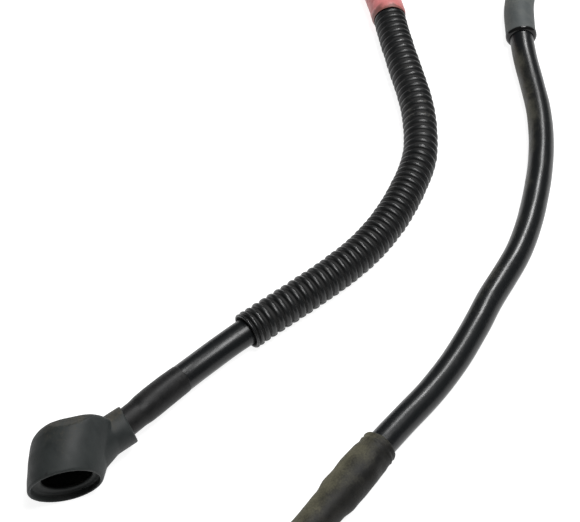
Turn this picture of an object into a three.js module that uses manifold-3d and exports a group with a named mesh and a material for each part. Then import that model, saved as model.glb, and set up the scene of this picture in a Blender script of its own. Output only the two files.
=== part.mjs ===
// Battery cable: one thick cable lying on a floor in a hairpin, with split loom, shrink
// sleeves, a rubber terminal boot and a ring lug at each end. Millimetres, +Z up, floor at z = 0.
import * as THREE from 'three';
import { mergeVertices } from 'three/addons/utils/BufferGeometryUtils.js';
import Module from 'manifold-3d';

const wasm = await Module();
wasm.setup();

// driving dimensions, in millimetres
const CABLE_D = 18.0;
const ROUND_SIDES = 12;
const STATIONS = 78;
const FIT = 0.3;

const LOOM_D = 24.8;
const LOOM_RIB_DEPTH = 1.6;
const LOOM_PITCH = 5.64;
const LOOM_BORE_PLAY = 0.8;
const LOOM_START = 87.0;
const LOOM_RIBS = 67;

const RED_WALL = 0.7;
const RED_LAP = 34.0;
const RED_TAPER = 12.0;
const RED_GRIP = 22.0;

const GREY_D = 23.2;
const GREY_LENGTH = 96.0;
const GREY_START = 877.0;
const GREY_LIP = 1.0;

const LUG_SLEEVE_D = 24.8;
const LUG_SLEEVE_NECK_D = 21.2;
const LUG_SLEEVE_LENGTH = 77.5;
const LUG_SLEEVE_OVER_BARREL = 22.0;
const LUG_SLEEVE_TAPER = 18.0;
const COLLAR_WIDTH = 7.0;
const COLLAR_GROOVE = 1.1;

const BARREL_SLEEVE_WALL = 0.6;
const BARREL_SLEEVE_OVER_CABLE = 33.0;
const BARREL_SLEEVE_OVER_BARREL = 24.0;
const SLEEVE_STEP = 6.0;

const LUG_BARREL_D = 16.0;
const LUG_BARREL_LENGTH = 34.0;
const LUG_FLARE_LENGTH = 8.0;
const LUG_PALM_WIDTH = 25.0;
const LUG_PALM_THICKNESS = 4.6;
const LUG_PALM_REACH = 13.0;
const LUG_PALM_ROOT = 3.0;
const LUG_HOLE_D = 13.0;

// boot's cup, outside and inside: radius and depth behind the mouth, from the back to the mouth
const CUP_OUTSIDE = [
  [0, 34.6], [17.5, 33.5], [23.0, 30.0], [24.0, 24.0], [24.0, 18.0], [23.5, 12.0], [23.3, 6.0],
  [22.6, 3.0], [22.3, 0.8], [21.7, 0], [0, 0],
];
const CUP_INSIDE = [
  [0, 32.0], [15.5, 31.8], [20.4, 28.5], [21.4, 23.0], [21.2, 12.0], [20.8, 8.5], [15.5, 7.0],
  [15.0, 5.2], [16.0, 4.5], [20.0, 4.2], [20.2, -14.0], [0, -14.0],
];
const CUP_LEAN = 0.32;
const CUP_FLAT_AT = 37.2;
const BOOT_WALL = 2.4;
const BOOT_SIDES = 28;
const NECK_D = 24.0;
const NECK_BACK = 30.0;
const NECK_FRONT = 4.6;
const NECK_BORE_REACH = 45.0;

// the way the cable lies: its centre line, hand-placed
const ROUTE = [
  [-89.3, -118.0, 17.3], [-83.5, -111.2, 16.0], [-75.1, -101.5, 14.2], [-60.8, -86.4, 11.9],
  [-46.0, -72.3, 11.5], [-30.9, -59.8, 12.4], [-15.1, -47.0, 12.5], [6.9, -29.4, 12.5],
  [29.1, -10.9, 12.5], [50.6, 10.7, 12.5], [69.3, 37.6, 12.5], [83.9, 68.3, 12.5],
  [92.1, 92.9, 12.5], [94.3, 118.4, 12.5], [93.1, 146.5, 12.5], [86.1, 187.2, 12.5],
  [80.5, 219.0, 12.9], [75.4, 252.5, 13.5], [68.3, 279.3, 13.5], [55.6, 302.4, 12.4],
  [46.0, 319.4, 11.1], [39.9, 341.6, 9.8], [40.6, 367.9, 9.0], [54.9, 404.3, 9.0], [83.0, 430.0, 9.0],
  [119.3, 441.5, 9.0], [157.1, 436.5, 9.0], [189.2, 416.0, 9.0], [209.7, 383.9, 9.1],
  [214.7, 350.1, 10.2], [210.0, 324.7, 11.5], [199.8, 304.0, 12.1], [186.0, 277.2, 12.2],
  [179.8, 250.5, 12.1],
  [178.6, 225.1, 11.8], [179.2, 199.3, 10.0], [181.5, 171.1, 9.0], [183.1, 146.0, 9.0],
  [182.4, 121.6, 9.0], [179.3, 96.0, 9.0], [175.1, 75.1, 9.0], [168.8, 51.0, 9.0],
  [161.9, 29.5, 9.0], [153.1, 8.6, 9.0], [142.5, -10.0, 9.0], [131.5, -28.1, 9.0],
  [120.5, -49.5, 9.0], [105.0, -76.5, 9.3], [88.0, -100.6, 10.2], [69.7, -122.2, 11.6],
  [55.6, -139.0, 12.5], [43.5, -154.6, 12.5], [31.3, -169.9, 12.5], [20.3, -183.7, 12.5],
];
// middle of the floor area that the whole part covers
const FLOOR_MIDDLE = [35.6, 105.8, 0.0];
// the boot's mouth: its middle, the way it looks out, and the level direction across it
const MOUTH_CENTRE = [-130.0, -173.6, 22.3];
const MOUTH_NORMAL = [0.259, -0.958, -0.122];
const MOUTH_ACROSS = [0.9653, 0.261, 0.0];
// the flat on the cup's shoulder, and the straight neck with its slanted end
const CUP_FLAT_NORMAL = [-0.135, 0.647, 0.779];
const NECK_POINT = [-100.2, -132.4, 19.6];
const NECK_AXIS = [0.7126, 0.6831, -0.16];
const NECK_END_NORMAL = [0.867, 0.475, 0.151];

const CABLE_R = CABLE_D / 2;
const LOOM_R = LOOM_D / 2;
const LUG_BARREL_R = LUG_BARREL_D / 2;
// the palm lies level with the underside of the barrel
const LUG_PALM_DROP = LUG_BARREL_R - LUG_PALM_THICKNESS / 2;
const vector = (numbers) => new THREE.Vector3(...numbers);

const routePoints = ROUTE.map(vector);
const routeCurve = new THREE.CatmullRomCurve3(routePoints, false, 'centripetal');
const ROUTE_LENGTH = routeCurve.getLength();
const STEP = ROUTE_LENGTH / STATIONS;
const stationPoints = routeCurve.getSpacedPoints(STATIONS);
const frames = routeCurve.computeFrenetFrames(STATIONS, false);

// centre, and the two cross directions, at a length s along the route; straight past its ends
function frameAt(s) {
  const place = s / STEP;
  const index = Math.min(Math.max(Math.floor(place), 0), STATIONS - 1);
  const past = place < 0 ? place : Math.max(place - STATIONS, 0);
  const part = THREE.MathUtils.clamp(place - index, 0, 1);
  const centre = stationPoints[index].clone().lerp(stationPoints[index + 1], part);
  const tangentIndex = place < 0 ? 0 : STATIONS;
  centre.addScaledVector(frames.tangents[tangentIndex], past * STEP);
  const normal = frames.normals[index].clone().lerp(frames.normals[index + 1], part);
  const binormal = frames.binormals[index].clone().lerp(frames.binormals[index + 1], part);
  return { centre, normal, binormal };
}

function signedVolume(geometry) {
  const position = geometry.attributes.position;
  const index = geometry.index;
  const a = new THREE.Vector3();
  const b = new THREE.Vector3();
  const c = new THREE.Vector3();
  let volume = 0;
  for (let i = 0; i < index.count; i += 3) {
    a.fromBufferAttribute(position, index.getX(i));
    b.fromBufferAttribute(position, index.getX(i + 1));
    c.fromBufferAttribute(position, index.getX(i + 2));
    volume += a.dot(b.cross(c)) / 6;
  }
  return volume;
}

// one closed body with merged corners and its faces looking out
function closedBody(source) {
  source.deleteAttribute('normal');
  source.deleteAttribute('uv');
  const geometry = mergeVertices(source, 1e-4);
  const kept = [];
  const index = geometry.index;
  for (let i = 0; i < index.count; i += 3) {
    const corners = [index.getX(i), index.getX(i + 1), index.getX(i + 2)];
    if (new Set(corners).size === 3) kept.push(...corners);
  }
  geometry.setIndex(kept);
  if (signedVolume(geometry) < 0) {
    for (let i = 0; i < kept.length; i += 3) [kept[i + 1], kept[i + 2]] = [kept[i + 2], kept[i + 1]];
    geometry.setIndex(kept);
  }
  return geometry;
}

// a turned profile of [radius, height] corners
function turned(profile, sides) {
  const corners = profile.map(([radius, height]) => new THREE.Vector2(radius, height));
  return new THREE.LatheGeometry(corners, sides);
}

// bends a turned piece along the route: its height becomes length along the route
function alongRoute(geometry) {
  const position = geometry.attributes.position;
  for (let i = 0; i < position.count; i += 1) {
    const { centre, normal, binormal } = frameAt(position.getY(i));
    const x = position.getX(i);
    const z = position.getZ(i);
    centre.addScaledVector(normal, x).addScaledVector(binormal, z);
    position.setXYZ(i, centre.x, centre.y, centre.z);
  }
  return closedBody(geometry);
}

// lengths along the route where a sleeve needs a ring: its own, and the route's stations between
function ringLengths(start, end) {
  const lengths = [start];
  for (let i = Math.ceil((start + 1) / STEP); i * STEP < end - 1; i += 1) lengths.push(i * STEP);
  lengths.push(end);
  return lengths;
}

// corners of a line of [radius, length], with the route's stations added between them
function stationed(corners) {
  const line = [];
  for (let i = 0; i < corners.length - 1; i += 1) {
    const [radius, start] = corners[i];
    const [nextRadius, end] = corners[i + 1];
    for (const length of ringLengths(start, end).slice(0, -1)) {
      line.push([THREE.MathUtils.lerp(radius, nextRadius, (length - start) / (end - start)), length]);
    }
  }
  line.push(corners[corners.length - 1]);
  return line;
}

// a sleeve's closed profile: outer corners from first to last, then its bore's corners back
function sleeveProfile(outer, bore) {
  const profile = [...stationed(outer), ...stationed(bore).reverse()];
  profile.push(profile[0]);
  return profile;
}

function manifoldOf(geometry) {
  const body = closedBody(geometry);
  const vertProperties = new Float32Array(body.attributes.position.array);
  const triVerts = new Uint32Array(body.index.array);
  return new wasm.Manifold(new wasm.Mesh({ numProp: 3, vertProperties, triVerts }));
}

function geometryOf(solid) {
  const mesh = solid.getMesh();
  const geometry = new THREE.BufferGeometry();
  geometry.setAttribute('position', new THREE.BufferAttribute(new Float32Array(mesh.vertProperties), 3));
  geometry.setIndex([...mesh.triVerts]);
  return geometry;
}

// the cable itself, a tube along the route
const ringAngle = (2 * Math.PI) / ROUND_SIDES;
const cableCorners = [];
for (let i = 0; i < ROUND_SIDES; i += 1) {
  const angle = i * ringAngle;
  cableCorners.push(new THREE.Vector2(CABLE_R * Math.sin(angle), CABLE_R * Math.cos(angle)));
}
const cable = new THREE.ExtrudeGeometry(new THREE.Shape(cableCorners), {
  steps: STATIONS,
  extrudePath: routeCurve,
  bevelEnabled: false,
});

// split loom: rib crowns and grooves outside, a plain bore inside
const loomBore = CABLE_R + LOOM_BORE_PLAY;
const loomProfile = [];
for (let rib = 0; rib < LOOM_RIBS; rib += 1) {
  const start = LOOM_START + rib * LOOM_PITCH;
  loomProfile.push([LOOM_R - LOOM_RIB_DEPTH, start]);
  loomProfile.push([LOOM_R, start + LOOM_PITCH / 2]);
}
const loomEnd = LOOM_START + LOOM_RIBS * LOOM_PITCH;
loomProfile.push([LOOM_R - LOOM_RIB_DEPTH, loomEnd]);
for (const length of ringLengths(LOOM_START, loomEnd).reverse()) loomProfile.push([loomBore, length]);
loomProfile.push(loomProfile[0]);
const loom = alongRoute(turned(loomProfile, ROUND_SIDES));

// red sleeve: over the loom's last ribs, then drawn down onto the bare cable
const redBore = LOOM_R + FIT;
const redGripBore = CABLE_R + FIT;
const redStart = loomEnd - RED_LAP;
const redShoulder = loomEnd + FIT;
const redNeck = redShoulder + RED_TAPER;
const redEnd = redNeck + RED_GRIP;
const redOuter = [
  [redBore + RED_WALL, redStart],
  [redBore + RED_WALL, redShoulder],
  [redGripBore + RED_WALL, redNeck],
  [redGripBore + RED_WALL, redEnd],
];
const redInner = [
  [redBore, redStart],
  [redBore, redShoulder],
  [redGripBore, redNeck],
  [redGripBore, redEnd],
];
const redSleeve = alongRoute(turned(sleeveProfile(redOuter, redInner), ROUND_SIDES));

// grey sleeve, with a rounded lip at the end that shows
const greyR = GREY_D / 2;
const greyBore = CABLE_R + FIT;
const greyEnd = GREY_START + GREY_LENGTH;
const greyOuter = [
  [greyR - GREY_LIP, GREY_START],
  [greyR, GREY_START + GREY_LIP],
  [greyR, greyEnd - 2 * GREY_LIP],
  [greyR - GREY_LIP, greyEnd],
];
const greyInner = [
  [greyBore, GREY_START],
  [greyBore, greyEnd],
];
const greySleeve = alongRoute(turned(sleeveProfile(greyOuter, greyInner), ROUND_SIDES));

// lug sleeve: a double end ring, a full body, and a neck drawn down over the lug's barrel
const sleeveR = LUG_SLEEVE_D / 2;
const sleeveNeckR = LUG_SLEEVE_NECK_D / 2;
const sleeveEnd = ROUTE_LENGTH + LUG_SLEEVE_OVER_BARREL;
const sleeveStart = sleeveEnd - LUG_SLEEVE_LENGTH;
const neckEnd = ROUTE_LENGTH;
const sleeveOuter = [
  [sleeveR - COLLAR_GROOVE, sleeveStart],
  [sleeveR, sleeveStart + COLLAR_WIDTH * 0.2],
  [sleeveR - COLLAR_GROOVE, sleeveStart + COLLAR_WIDTH * 0.5],
  [sleeveR, sleeveStart + COLLAR_WIDTH * 0.8],
  [sleeveR - COLLAR_GROOVE, sleeveStart + COLLAR_WIDTH],
  [sleeveR, sleeveStart + COLLAR_WIDTH * 1.7],
  [sleeveR, neckEnd - LUG_SLEEVE_TAPER],
  [sleeveNeckR, neckEnd],
  [sleeveNeckR, sleeveEnd],
];
const sleeveInner = [
  [CABLE_R + FIT, sleeveStart],
  [CABLE_R + FIT, ROUTE_LENGTH + FIT],
  [LUG_BARREL_R + FIT, ROUTE_LENGTH + SLEEVE_STEP],
  [LUG_BARREL_R + FIT, sleeveEnd],
];
const lugSleeve = alongRoute(turned(sleeveProfile(sleeveOuter, sleeveInner), ROUND_SIDES));

// barrel sleeve: thin shrink tube from the boot lug's barrel up onto the thicker cable
const overBarrelR = LUG_BARREL_R + FIT;
const overCableR = CABLE_R + FIT;
const barrelOuter = [
  [overBarrelR + BARREL_SLEEVE_WALL, -BARREL_SLEEVE_OVER_BARREL],
  [overBarrelR + BARREL_SLEEVE_WALL, -SLEEVE_STEP],
  [overCableR + BARREL_SLEEVE_WALL, -FIT],
  [overCableR + BARREL_SLEEVE_WALL, BARREL_SLEEVE_OVER_CABLE],
];
const barrelInner = [
  [overBarrelR, -BARREL_SLEEVE_OVER_BARREL],
  [overBarrelR, -SLEEVE_STEP],
  [overCableR, -FIT],
  [overCableR, BARREL_SLEEVE_OVER_CABLE],
];
const barrelSleeve = alongRoute(turned(sleeveProfile(barrelOuter, barrelInner), ROUND_SIDES));

// a frame with its x axis along the cable, out of its end, and its z axis square to the palm
function endFrame(s, out, palmNormal) {
  const z = palmNormal.clone().addScaledVector(out, -palmNormal.dot(out)).normalize();
  const y = z.clone().cross(out).normalize();
  const { centre } = frameAt(s);
  return new THREE.Matrix4().makeBasis(out, y, z).setPosition(centre);
}

// ring lug: a round barrel, flattened into a palm with a rounded tip and a stud hole
function ringLug(barrelNormal, dropSign) {
  const { normal, binormal, matrix } = barrelNormal;
  const inverse = matrix.clone().invert();
  const flat = (v) => v.clone().transformDirection(inverse);
  const crossX = flat(normal);
  const crossZ = flat(binormal);
  const total = LUG_BARREL_LENGTH + LUG_FLARE_LENGTH;
  const profile = [
    [0, FIT],
    [LUG_BARREL_R, FIT],
    [LUG_BARREL_R, LUG_BARREL_LENGTH],
    [LUG_BARREL_R * 0.97, LUG_BARREL_LENGTH + LUG_FLARE_LENGTH * 0.4],
    [LUG_BARREL_R * 0.8, total],
    [0, total],
  ];
  const round = turned(profile, ROUND_SIDES);
  const position = round.attributes.position;
  for (let i = 0; i < position.count; i += 1) {
    const along = position.getY(i);
    const place = new THREE.Vector3(along, 0, 0);
    place.addScaledVector(crossX, position.getX(i)).addScaledVector(crossZ, position.getZ(i));
    const share = THREE.MathUtils.clamp((along - LUG_BARREL_LENGTH) / LUG_FLARE_LENGTH, 0, 1);
    const wide = THREE.MathUtils.lerp(1, LUG_PALM_WIDTH / (1.75 * LUG_BARREL_R), share);
    const thick = THREE.MathUtils.lerp(1, LUG_PALM_THICKNESS / (1.7 * LUG_BARREL_R), share);
    place.y *= wide;
    place.z = place.z * thick + share * dropSign * LUG_PALM_DROP;
    position.setXYZ(i, place.x, place.y, place.z);
  }
  const holeAt = total + LUG_PALM_REACH;
  const half = LUG_PALM_WIDTH / 2;
  const outline = new THREE.Shape();
  outline.moveTo(total - LUG_PALM_ROOT, -half);
  outline.lineTo(holeAt, -half);
  outline.absarc(holeAt, 0, half, -Math.PI / 2, Math.PI / 2, false);
  outline.lineTo(total - LUG_PALM_ROOT, half);
  outline.lineTo(total - LUG_PALM_ROOT, -half);
  const hole = new THREE.Path();
  hole.absarc(holeAt, 0, LUG_HOLE_D / 2, 0, 2 * Math.PI, true);
  outline.holes.push(hole);
  const palm = new THREE.ExtrudeGeometry(outline, {
    depth: LUG_PALM_THICKNESS,
    bevelEnabled: false,
    curveSegments: 10,
  });
  palm.translate(0, 0, dropSign * LUG_PALM_DROP - LUG_PALM_THICKNESS / 2);
  const solid = manifoldOf(round).add(manifoldOf(palm));
  return closedBody(geometryOf(solid)).applyMatrix4(matrix);
}

const startOut = frames.tangents[0].clone().negate();
const endOut = frames.tangents[STATIONS].clone();
const mouthNormal = vector(MOUTH_NORMAL).normalize();
const startFrame = frameAt(0);
const endRouteFrame = frameAt(ROUTE_LENGTH);
const bootLug = ringLug(
  { ...startFrame, matrix: endFrame(0, startOut, mouthNormal) },
  -1,
);
const farLug = ringLug(
  { ...endRouteFrame, matrix: endFrame(ROUTE_LENGTH, endOut, new THREE.Vector3(0, 0, 1)) },
  -1,
);

// terminal boot: an open cup, leaning along its mouth, and a straight neck around the cable
const across = vector(MOUTH_ACROSS).normalize();
const upward = mouthNormal.clone().cross(across).normalize();
const mouthCentre = vector(MOUTH_CENTRE);
const cupPlace = new THREE.Matrix4().makeBasis(across, upward, mouthNormal).setPosition(mouthCentre);
const cupLean = new THREE.Matrix4().set(1, 0, -CUP_LEAN, 0, 0, 1, 0, 0, 0, 0, 1, 0, 0, 0, 0, 1);
const flatNormal = vector(CUP_FLAT_NORMAL).normalize();

// keeps what lies behind a plane that a normal looks out of
function trimmed(solid, normal, distance) {
  return solid.trimByPlane([-normal.x, -normal.y, -normal.z], -distance);
}

function cupPiece(profile, flatAt) {
  const piece = turned(profile.map(([radius, depth]) => [radius, -depth]), BOOT_SIDES);
  piece.rotateX(Math.PI / 2);
  const solid = manifoldOf(piece.applyMatrix4(cupLean).applyMatrix4(cupPlace));
  return trimmed(solid, flatNormal, flatNormal.dot(mouthCentre) + flatAt);
}

const cup = cupPiece(CUP_OUTSIDE, CUP_FLAT_AT);
const cavity = cupPiece(CUP_INSIDE, CUP_FLAT_AT - BOOT_WALL);
const neckR = NECK_D / 2;
const neckAxis = vector(NECK_AXIS).normalize();
const neckSide = neckAxis.clone().cross(new THREE.Vector3(0, 0, 1)).normalize();
const neckTop = neckSide.clone().cross(neckAxis);
const neckPlace = new THREE.Matrix4().makeBasis(neckSide, neckAxis, neckTop).setPosition(vector(NECK_POINT));
const neckTube = turned([[0, -NECK_BACK], [neckR, -NECK_BACK], [neckR, neckR], [0, neckR]], BOOT_SIDES);
const neckEndNormal = vector(NECK_END_NORMAL).normalize();
const neckEndPoint = vector(NECK_POINT).addScaledVector(neckAxis, NECK_FRONT);
const neck = trimmed(
  manifoldOf(neckTube.applyMatrix4(neckPlace)),
  neckEndNormal,
  neckEndNormal.dot(neckEndPoint),
);
const neckBoreR = overBarrelR + BARREL_SLEEVE_WALL + FIT;
const neckBore = manifoldOf(alongRoute(turned([
  [0, -NECK_BORE_REACH],
  [neckBoreR, -NECK_BORE_REACH],
  [neckBoreR, 0],
  [0, 0],
], ROUND_SIDES)));
const boot = closedBody(geometryOf(cup.add(neck).subtract(cavity).subtract(neckBore)));

const rubber = (color, roughness) => new THREE.MeshStandardMaterial({ color, roughness, metalness: 0 });
const tinned = () => new THREE.MeshStandardMaterial({ color: 0xa9a9a4, roughness: 0.38, metalness: 0.9 });

const batteryCable = new THREE.Group();
batteryCable.position.copy(vector(FLOOR_MIDDLE)).negate();

function addPiece(name, geometry, material) {
  const mesh = new THREE.Mesh(geometry, material);
  mesh.name = name;
  batteryCable.add(mesh);
}

addPiece('cable', closedBody(cable), rubber(0x171717, 0.42));
addPiece('split_loom', loom, rubber(0x1b1b1c, 0.48));
addPiece('red_sleeve', redSleeve, rubber(0xa05a5a, 0.6));
addPiece('grey_sleeve', greySleeve, rubber(0x555a5a, 0.7));
addPiece('lug_sleeve', lugSleeve, rubber(0x2a2a28, 0.65));
addPiece('barrel_sleeve', barrelSleeve, rubber(0x1c1c1d, 0.5));
addPiece('terminal_boot', boot, rubber(0x3a3e3e, 0.75));
addPiece('boot_lug', bootLug, tinned());
addPiece('far_lug', farLug, tinned());

export default batteryCable;
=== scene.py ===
"""Looks of a battery cable: jacket, split loom, shrink sleeves, terminal boot and ring lugs."""

import logging
import math
from dataclasses import dataclass
from enum import Enum
from typing import Callable, Optional, Sequence

import bmesh
import bpy
import numpy as np
from mathutils import Matrix, Vector

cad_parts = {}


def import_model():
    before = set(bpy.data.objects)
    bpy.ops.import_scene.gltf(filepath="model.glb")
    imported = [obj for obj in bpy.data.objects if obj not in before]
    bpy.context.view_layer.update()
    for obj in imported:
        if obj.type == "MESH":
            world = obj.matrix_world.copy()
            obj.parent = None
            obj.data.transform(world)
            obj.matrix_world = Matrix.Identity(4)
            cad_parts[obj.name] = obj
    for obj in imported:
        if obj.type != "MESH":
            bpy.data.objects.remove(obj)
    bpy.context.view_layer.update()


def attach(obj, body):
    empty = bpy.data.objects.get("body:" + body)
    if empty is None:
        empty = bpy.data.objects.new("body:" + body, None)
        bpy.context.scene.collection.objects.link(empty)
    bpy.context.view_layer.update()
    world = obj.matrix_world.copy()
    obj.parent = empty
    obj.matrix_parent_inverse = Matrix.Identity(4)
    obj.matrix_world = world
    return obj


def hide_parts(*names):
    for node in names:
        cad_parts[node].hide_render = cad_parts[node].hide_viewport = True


log = logging.getLogger("battery_cable")

MM = 0.001
PHOTO_WIDTH = 580
SENSOR_MM = 36.0

# the camera: distance from the middle of the view, downward tilt and focal length in pixels
VIEW_DISTANCE = 0.867
VIEW_TILT = math.radians(52.0)
FOCAL_PX = 1300.0

# middle of the floor area under the part, in the route's own millimetres
FLOOR_MIDDLE = (35.6, 105.8)
# height of the point in the middle of the view
LOOK_HEIGHT = 12.4

# the way the cable lies, from the boot lug's barrel to the far lug's, in millimetres
ROUTE_MM = (
    (-89.3, -118.0, 17.3), (-83.5, -111.2, 16.0), (-75.1, -101.5, 14.2), (-60.8, -86.4, 11.9),
    (-46.0, -72.3, 11.5), (-30.9, -59.8, 12.4), (-15.1, -47.0, 12.5), (6.9, -29.4, 12.5),
    (29.1, -10.9, 12.5), (50.6, 10.7, 12.5), (69.3, 37.6, 12.5), (83.9, 68.3, 12.5),
    (92.1, 92.9, 12.5), (94.3, 118.4, 12.5), (93.1, 146.5, 12.5), (86.1, 187.2, 12.5),
    (80.5, 219.0, 12.9), (75.4, 252.5, 13.5), (68.3, 279.3, 13.5), (55.6, 302.4, 12.4),
    (46.0, 319.4, 11.1), (39.9, 341.6, 9.8), (40.6, 367.9, 9.0), (54.9, 404.3, 9.0),
    (83.0, 430.0, 9.0), (119.3, 441.5, 9.0), (157.1, 436.5, 9.0), (189.2, 416.0, 9.0),
    (209.7, 383.9, 9.1), (214.7, 350.1, 10.2), (210.0, 324.7, 11.5), (199.8, 304.0, 12.1),
    (186.0, 277.2, 12.2), (179.8, 250.5, 12.1), (178.6, 225.1, 11.8), (179.2, 199.3, 10.0),
    (181.5, 171.1, 9.0), (183.1, 146.0, 9.0), (182.4, 121.6, 9.0), (179.3, 96.0, 9.0),
    (175.1, 75.1, 9.0), (168.8, 51.0, 9.0), (161.9, 29.5, 9.0), (153.1, 8.6, 9.0),
    (142.5, -10.0, 9.0), (131.5, -28.1, 9.0), (120.5, -49.5, 9.0), (105.0, -76.5, 9.3),
    (88.0, -100.6, 10.2), (69.7, -122.2, 11.6), (55.6, -139.0, 12.5), (43.5, -154.6, 12.5),
    (31.3, -169.9, 12.5), (20.3, -183.7, 12.5),
)

Socket = bpy.types.NodeSocket
Triple = tuple[float, float, float]
Stations = Sequence[tuple[float, float]]
Warp = Callable[[np.ndarray, np.ndarray], np.ndarray]


class Route:
    """The cable's centre line as one smooth curve, read by length along it in metres."""

    ease_reach: float = 0.012

    def __init__(self, points_mm: Sequence[Triple], step: float = 0.001) -> None:
        """Samples the curve through the points.

        Args:
            points_mm: the given points, in millimetres.
            step: the spacing of the samples, in metres.
        """
        middle = np.array([*FLOOR_MIDDLE, 0.0])
        points = (np.array(points_mm) - middle) * MM
        fine = self._catmull_rom(points)
        lengths = self._lengths(fine)
        count = int(lengths[-1] / step)
        self.length = float(lengths[-1])
        self.s = np.linspace(0.0, self.length, count + 1)
        even = np.stack([np.interp(self.s, lengths, fine[:, k]) for k in range(3)], axis=1)
        self.points = self._eased(even, int(self.ease_reach / step))
        tangents = np.gradient(self.points, axis=0)
        self.tangents = tangents / np.linalg.norm(tangents, axis=1)[:, None]

    @staticmethod
    def _catmull_rom(points: np.ndarray, per_span: int = 40) -> np.ndarray:
        """Samples a centripetal Catmull-Rom curve.

        Args:
            points: the points that it passes through.
            per_span: samples in each span.

        Returns:
            The sampled points, in order.
        """
        padded = np.vstack([2 * points[0] - points[1], points, 2 * points[-1] - points[-2]])
        samples = []
        u = np.linspace(0.0, 1.0, per_span, endpoint=False)[:, None]
        for i in range(1, len(padded) - 2):
            p0, p1, p2, p3 = padded[i - 1:i + 3]
            pairs = ((p0, p1), (p1, p2), (p2, p3))
            d0, d1, d2 = (np.sqrt(np.linalg.norm(b - a)) for a, b in pairs)
            t1 = ((p1 - p0) / d0 - (p2 - p0) / (d0 + d1) + (p2 - p1) / d1) * d1
            t2 = ((p2 - p1) / d1 - (p3 - p1) / (d1 + d2) + (p3 - p2) / d2) * d1
            c2 = -3 * p1 + 3 * p2 - 2 * t1 - t2
            c3 = 2 * p1 - 2 * p2 + t1 + t2
            samples.append(p1 + t1 * u + c2 * u ** 2 + c3 * u ** 3)
        samples.append(points[-1:])
        return np.vstack(samples)

    @staticmethod
    def _lengths(points: np.ndarray) -> np.ndarray:
        """Length from the first point to each point."""
        steps = np.linalg.norm(np.diff(points, axis=0), axis=1)
        return np.concatenate([[0.0], np.cumsum(steps)])

    @staticmethod
    def _eased(points: np.ndarray, reach: int) -> np.ndarray:
        """Evens out small changes of bend, with both ends kept.

        Args:
            points: evenly spaced points.
            reach: how many neighbours on each side are averaged.

        Returns:
            The eased points.
        """
        head = 2 * points[0] - points[reach:0:-1]
        tail = 2 * points[-1] - points[-2:-reach - 2:-1]
        padded = np.vstack([head, points, tail])
        kernel = np.hanning(2 * reach + 3)[1:-1]
        kernel /= kernel.sum()
        return np.stack([np.convolve(padded[:, k], kernel, "valid") for k in range(3)], axis=1)

    def frames(self, s: np.ndarray) -> tuple[np.ndarray, np.ndarray, np.ndarray, np.ndarray]:
        """The curve's frame at each length, going straight on past its ends.

        Args:
            s: lengths along the curve, in metres.

        Returns:
            Centres, tangents, level side directions (left of travel) and upward directions.
        """
        inside = np.clip(s, 0.0, self.length)
        centre = np.stack([np.interp(inside, self.s, self.points[:, k]) for k in range(3)], axis=-1)
        tangent = np.stack([np.interp(inside, self.s, self.tangents[:, k]) for k in range(3)], axis=-1)
        tangent /= np.linalg.norm(tangent, axis=-1)[..., None]
        centre = centre + tangent * (s - inside)[..., None]
        side = np.cross(np.array([0.0, 0.0, 1.0]), tangent)
        side /= np.linalg.norm(side, axis=-1)[..., None]
        return centre, tangent, side, np.cross(tangent, side)

    def place(self, across: np.ndarray, above: np.ndarray, s: np.ndarray) -> np.ndarray:
        """Points beside the curve.

        Args:
            across: offset to the left of travel, in metres.
            above: offset upwards, in metres.
            s: length along the curve, in metres.

        Returns:
            The points in the part's own frame.
        """
        centre, _, side, up = self.frames(s)
        return centre + side * across[..., None] + up * above[..., None]


def from_route_mm(point: Triple) -> Vector:
    """A point given in the route's own millimetres, in the part's frame."""
    return Vector((point[0] - FLOOR_MIDDLE[0], point[1] - FLOOR_MIDDLE[1], point[2])) * MM


def mesh_object(
    name: str,
    vertices: np.ndarray,
    faces: list[tuple[int, ...]],
    straight: Optional[np.ndarray] = None,
) -> bpy.types.Object:
    """A smooth-shaded mesh object at the origin.

    Args:
        name: the object's name.
        vertices: one row of x, y, z for each vertex, in metres.
        faces: tuples of vertex numbers.
        straight: each vertex's place on the straightened cable, kept as an attribute.

    Returns:
        The new object, linked to the scene.
    """
    mesh = bpy.data.meshes.new(name)
    mesh.from_pydata(vertices.tolist(), [], faces)
    if straight is not None:
        layer = mesh.attributes.new("straight", "FLOAT_VECTOR", "POINT")
        layer.data.foreach_set("vector", straight.astype(np.float32).ravel())
    shade_smooth(mesh)
    mesh.update()
    obj = bpy.data.objects.new(name, mesh)
    bpy.context.scene.collection.objects.link(obj)
    return obj


def ring_faces(rows: int, sides: int, wrap: bool) -> list[tuple[int, ...]]:
    """Faces between neighbouring rings of corners.

    Args:
        rows: how many rings there are.
        sides: corners in each ring.
        wrap: whether the last ring joins the first; otherwise both ends are capped.

    Returns:
        Tuples of vertex numbers.
    """
    faces = [] if wrap else [tuple(reversed(range(sides)))]
    for row in range(rows if wrap else rows - 1):
        a, b = row * sides, (row + 1) % rows * sides
        faces.extend((a + k, a + (k + 1) % sides, b + (k + 1) % sides, b + k) for k in range(sides))
    if not wrap:
        faces.append(tuple(range((rows - 1) * sides, rows * sides)))
    return faces


def no_warp(s: np.ndarray, angle: np.ndarray) -> np.ndarray:
    """Leaves a tube as turned."""
    return np.zeros_like(s)


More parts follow.
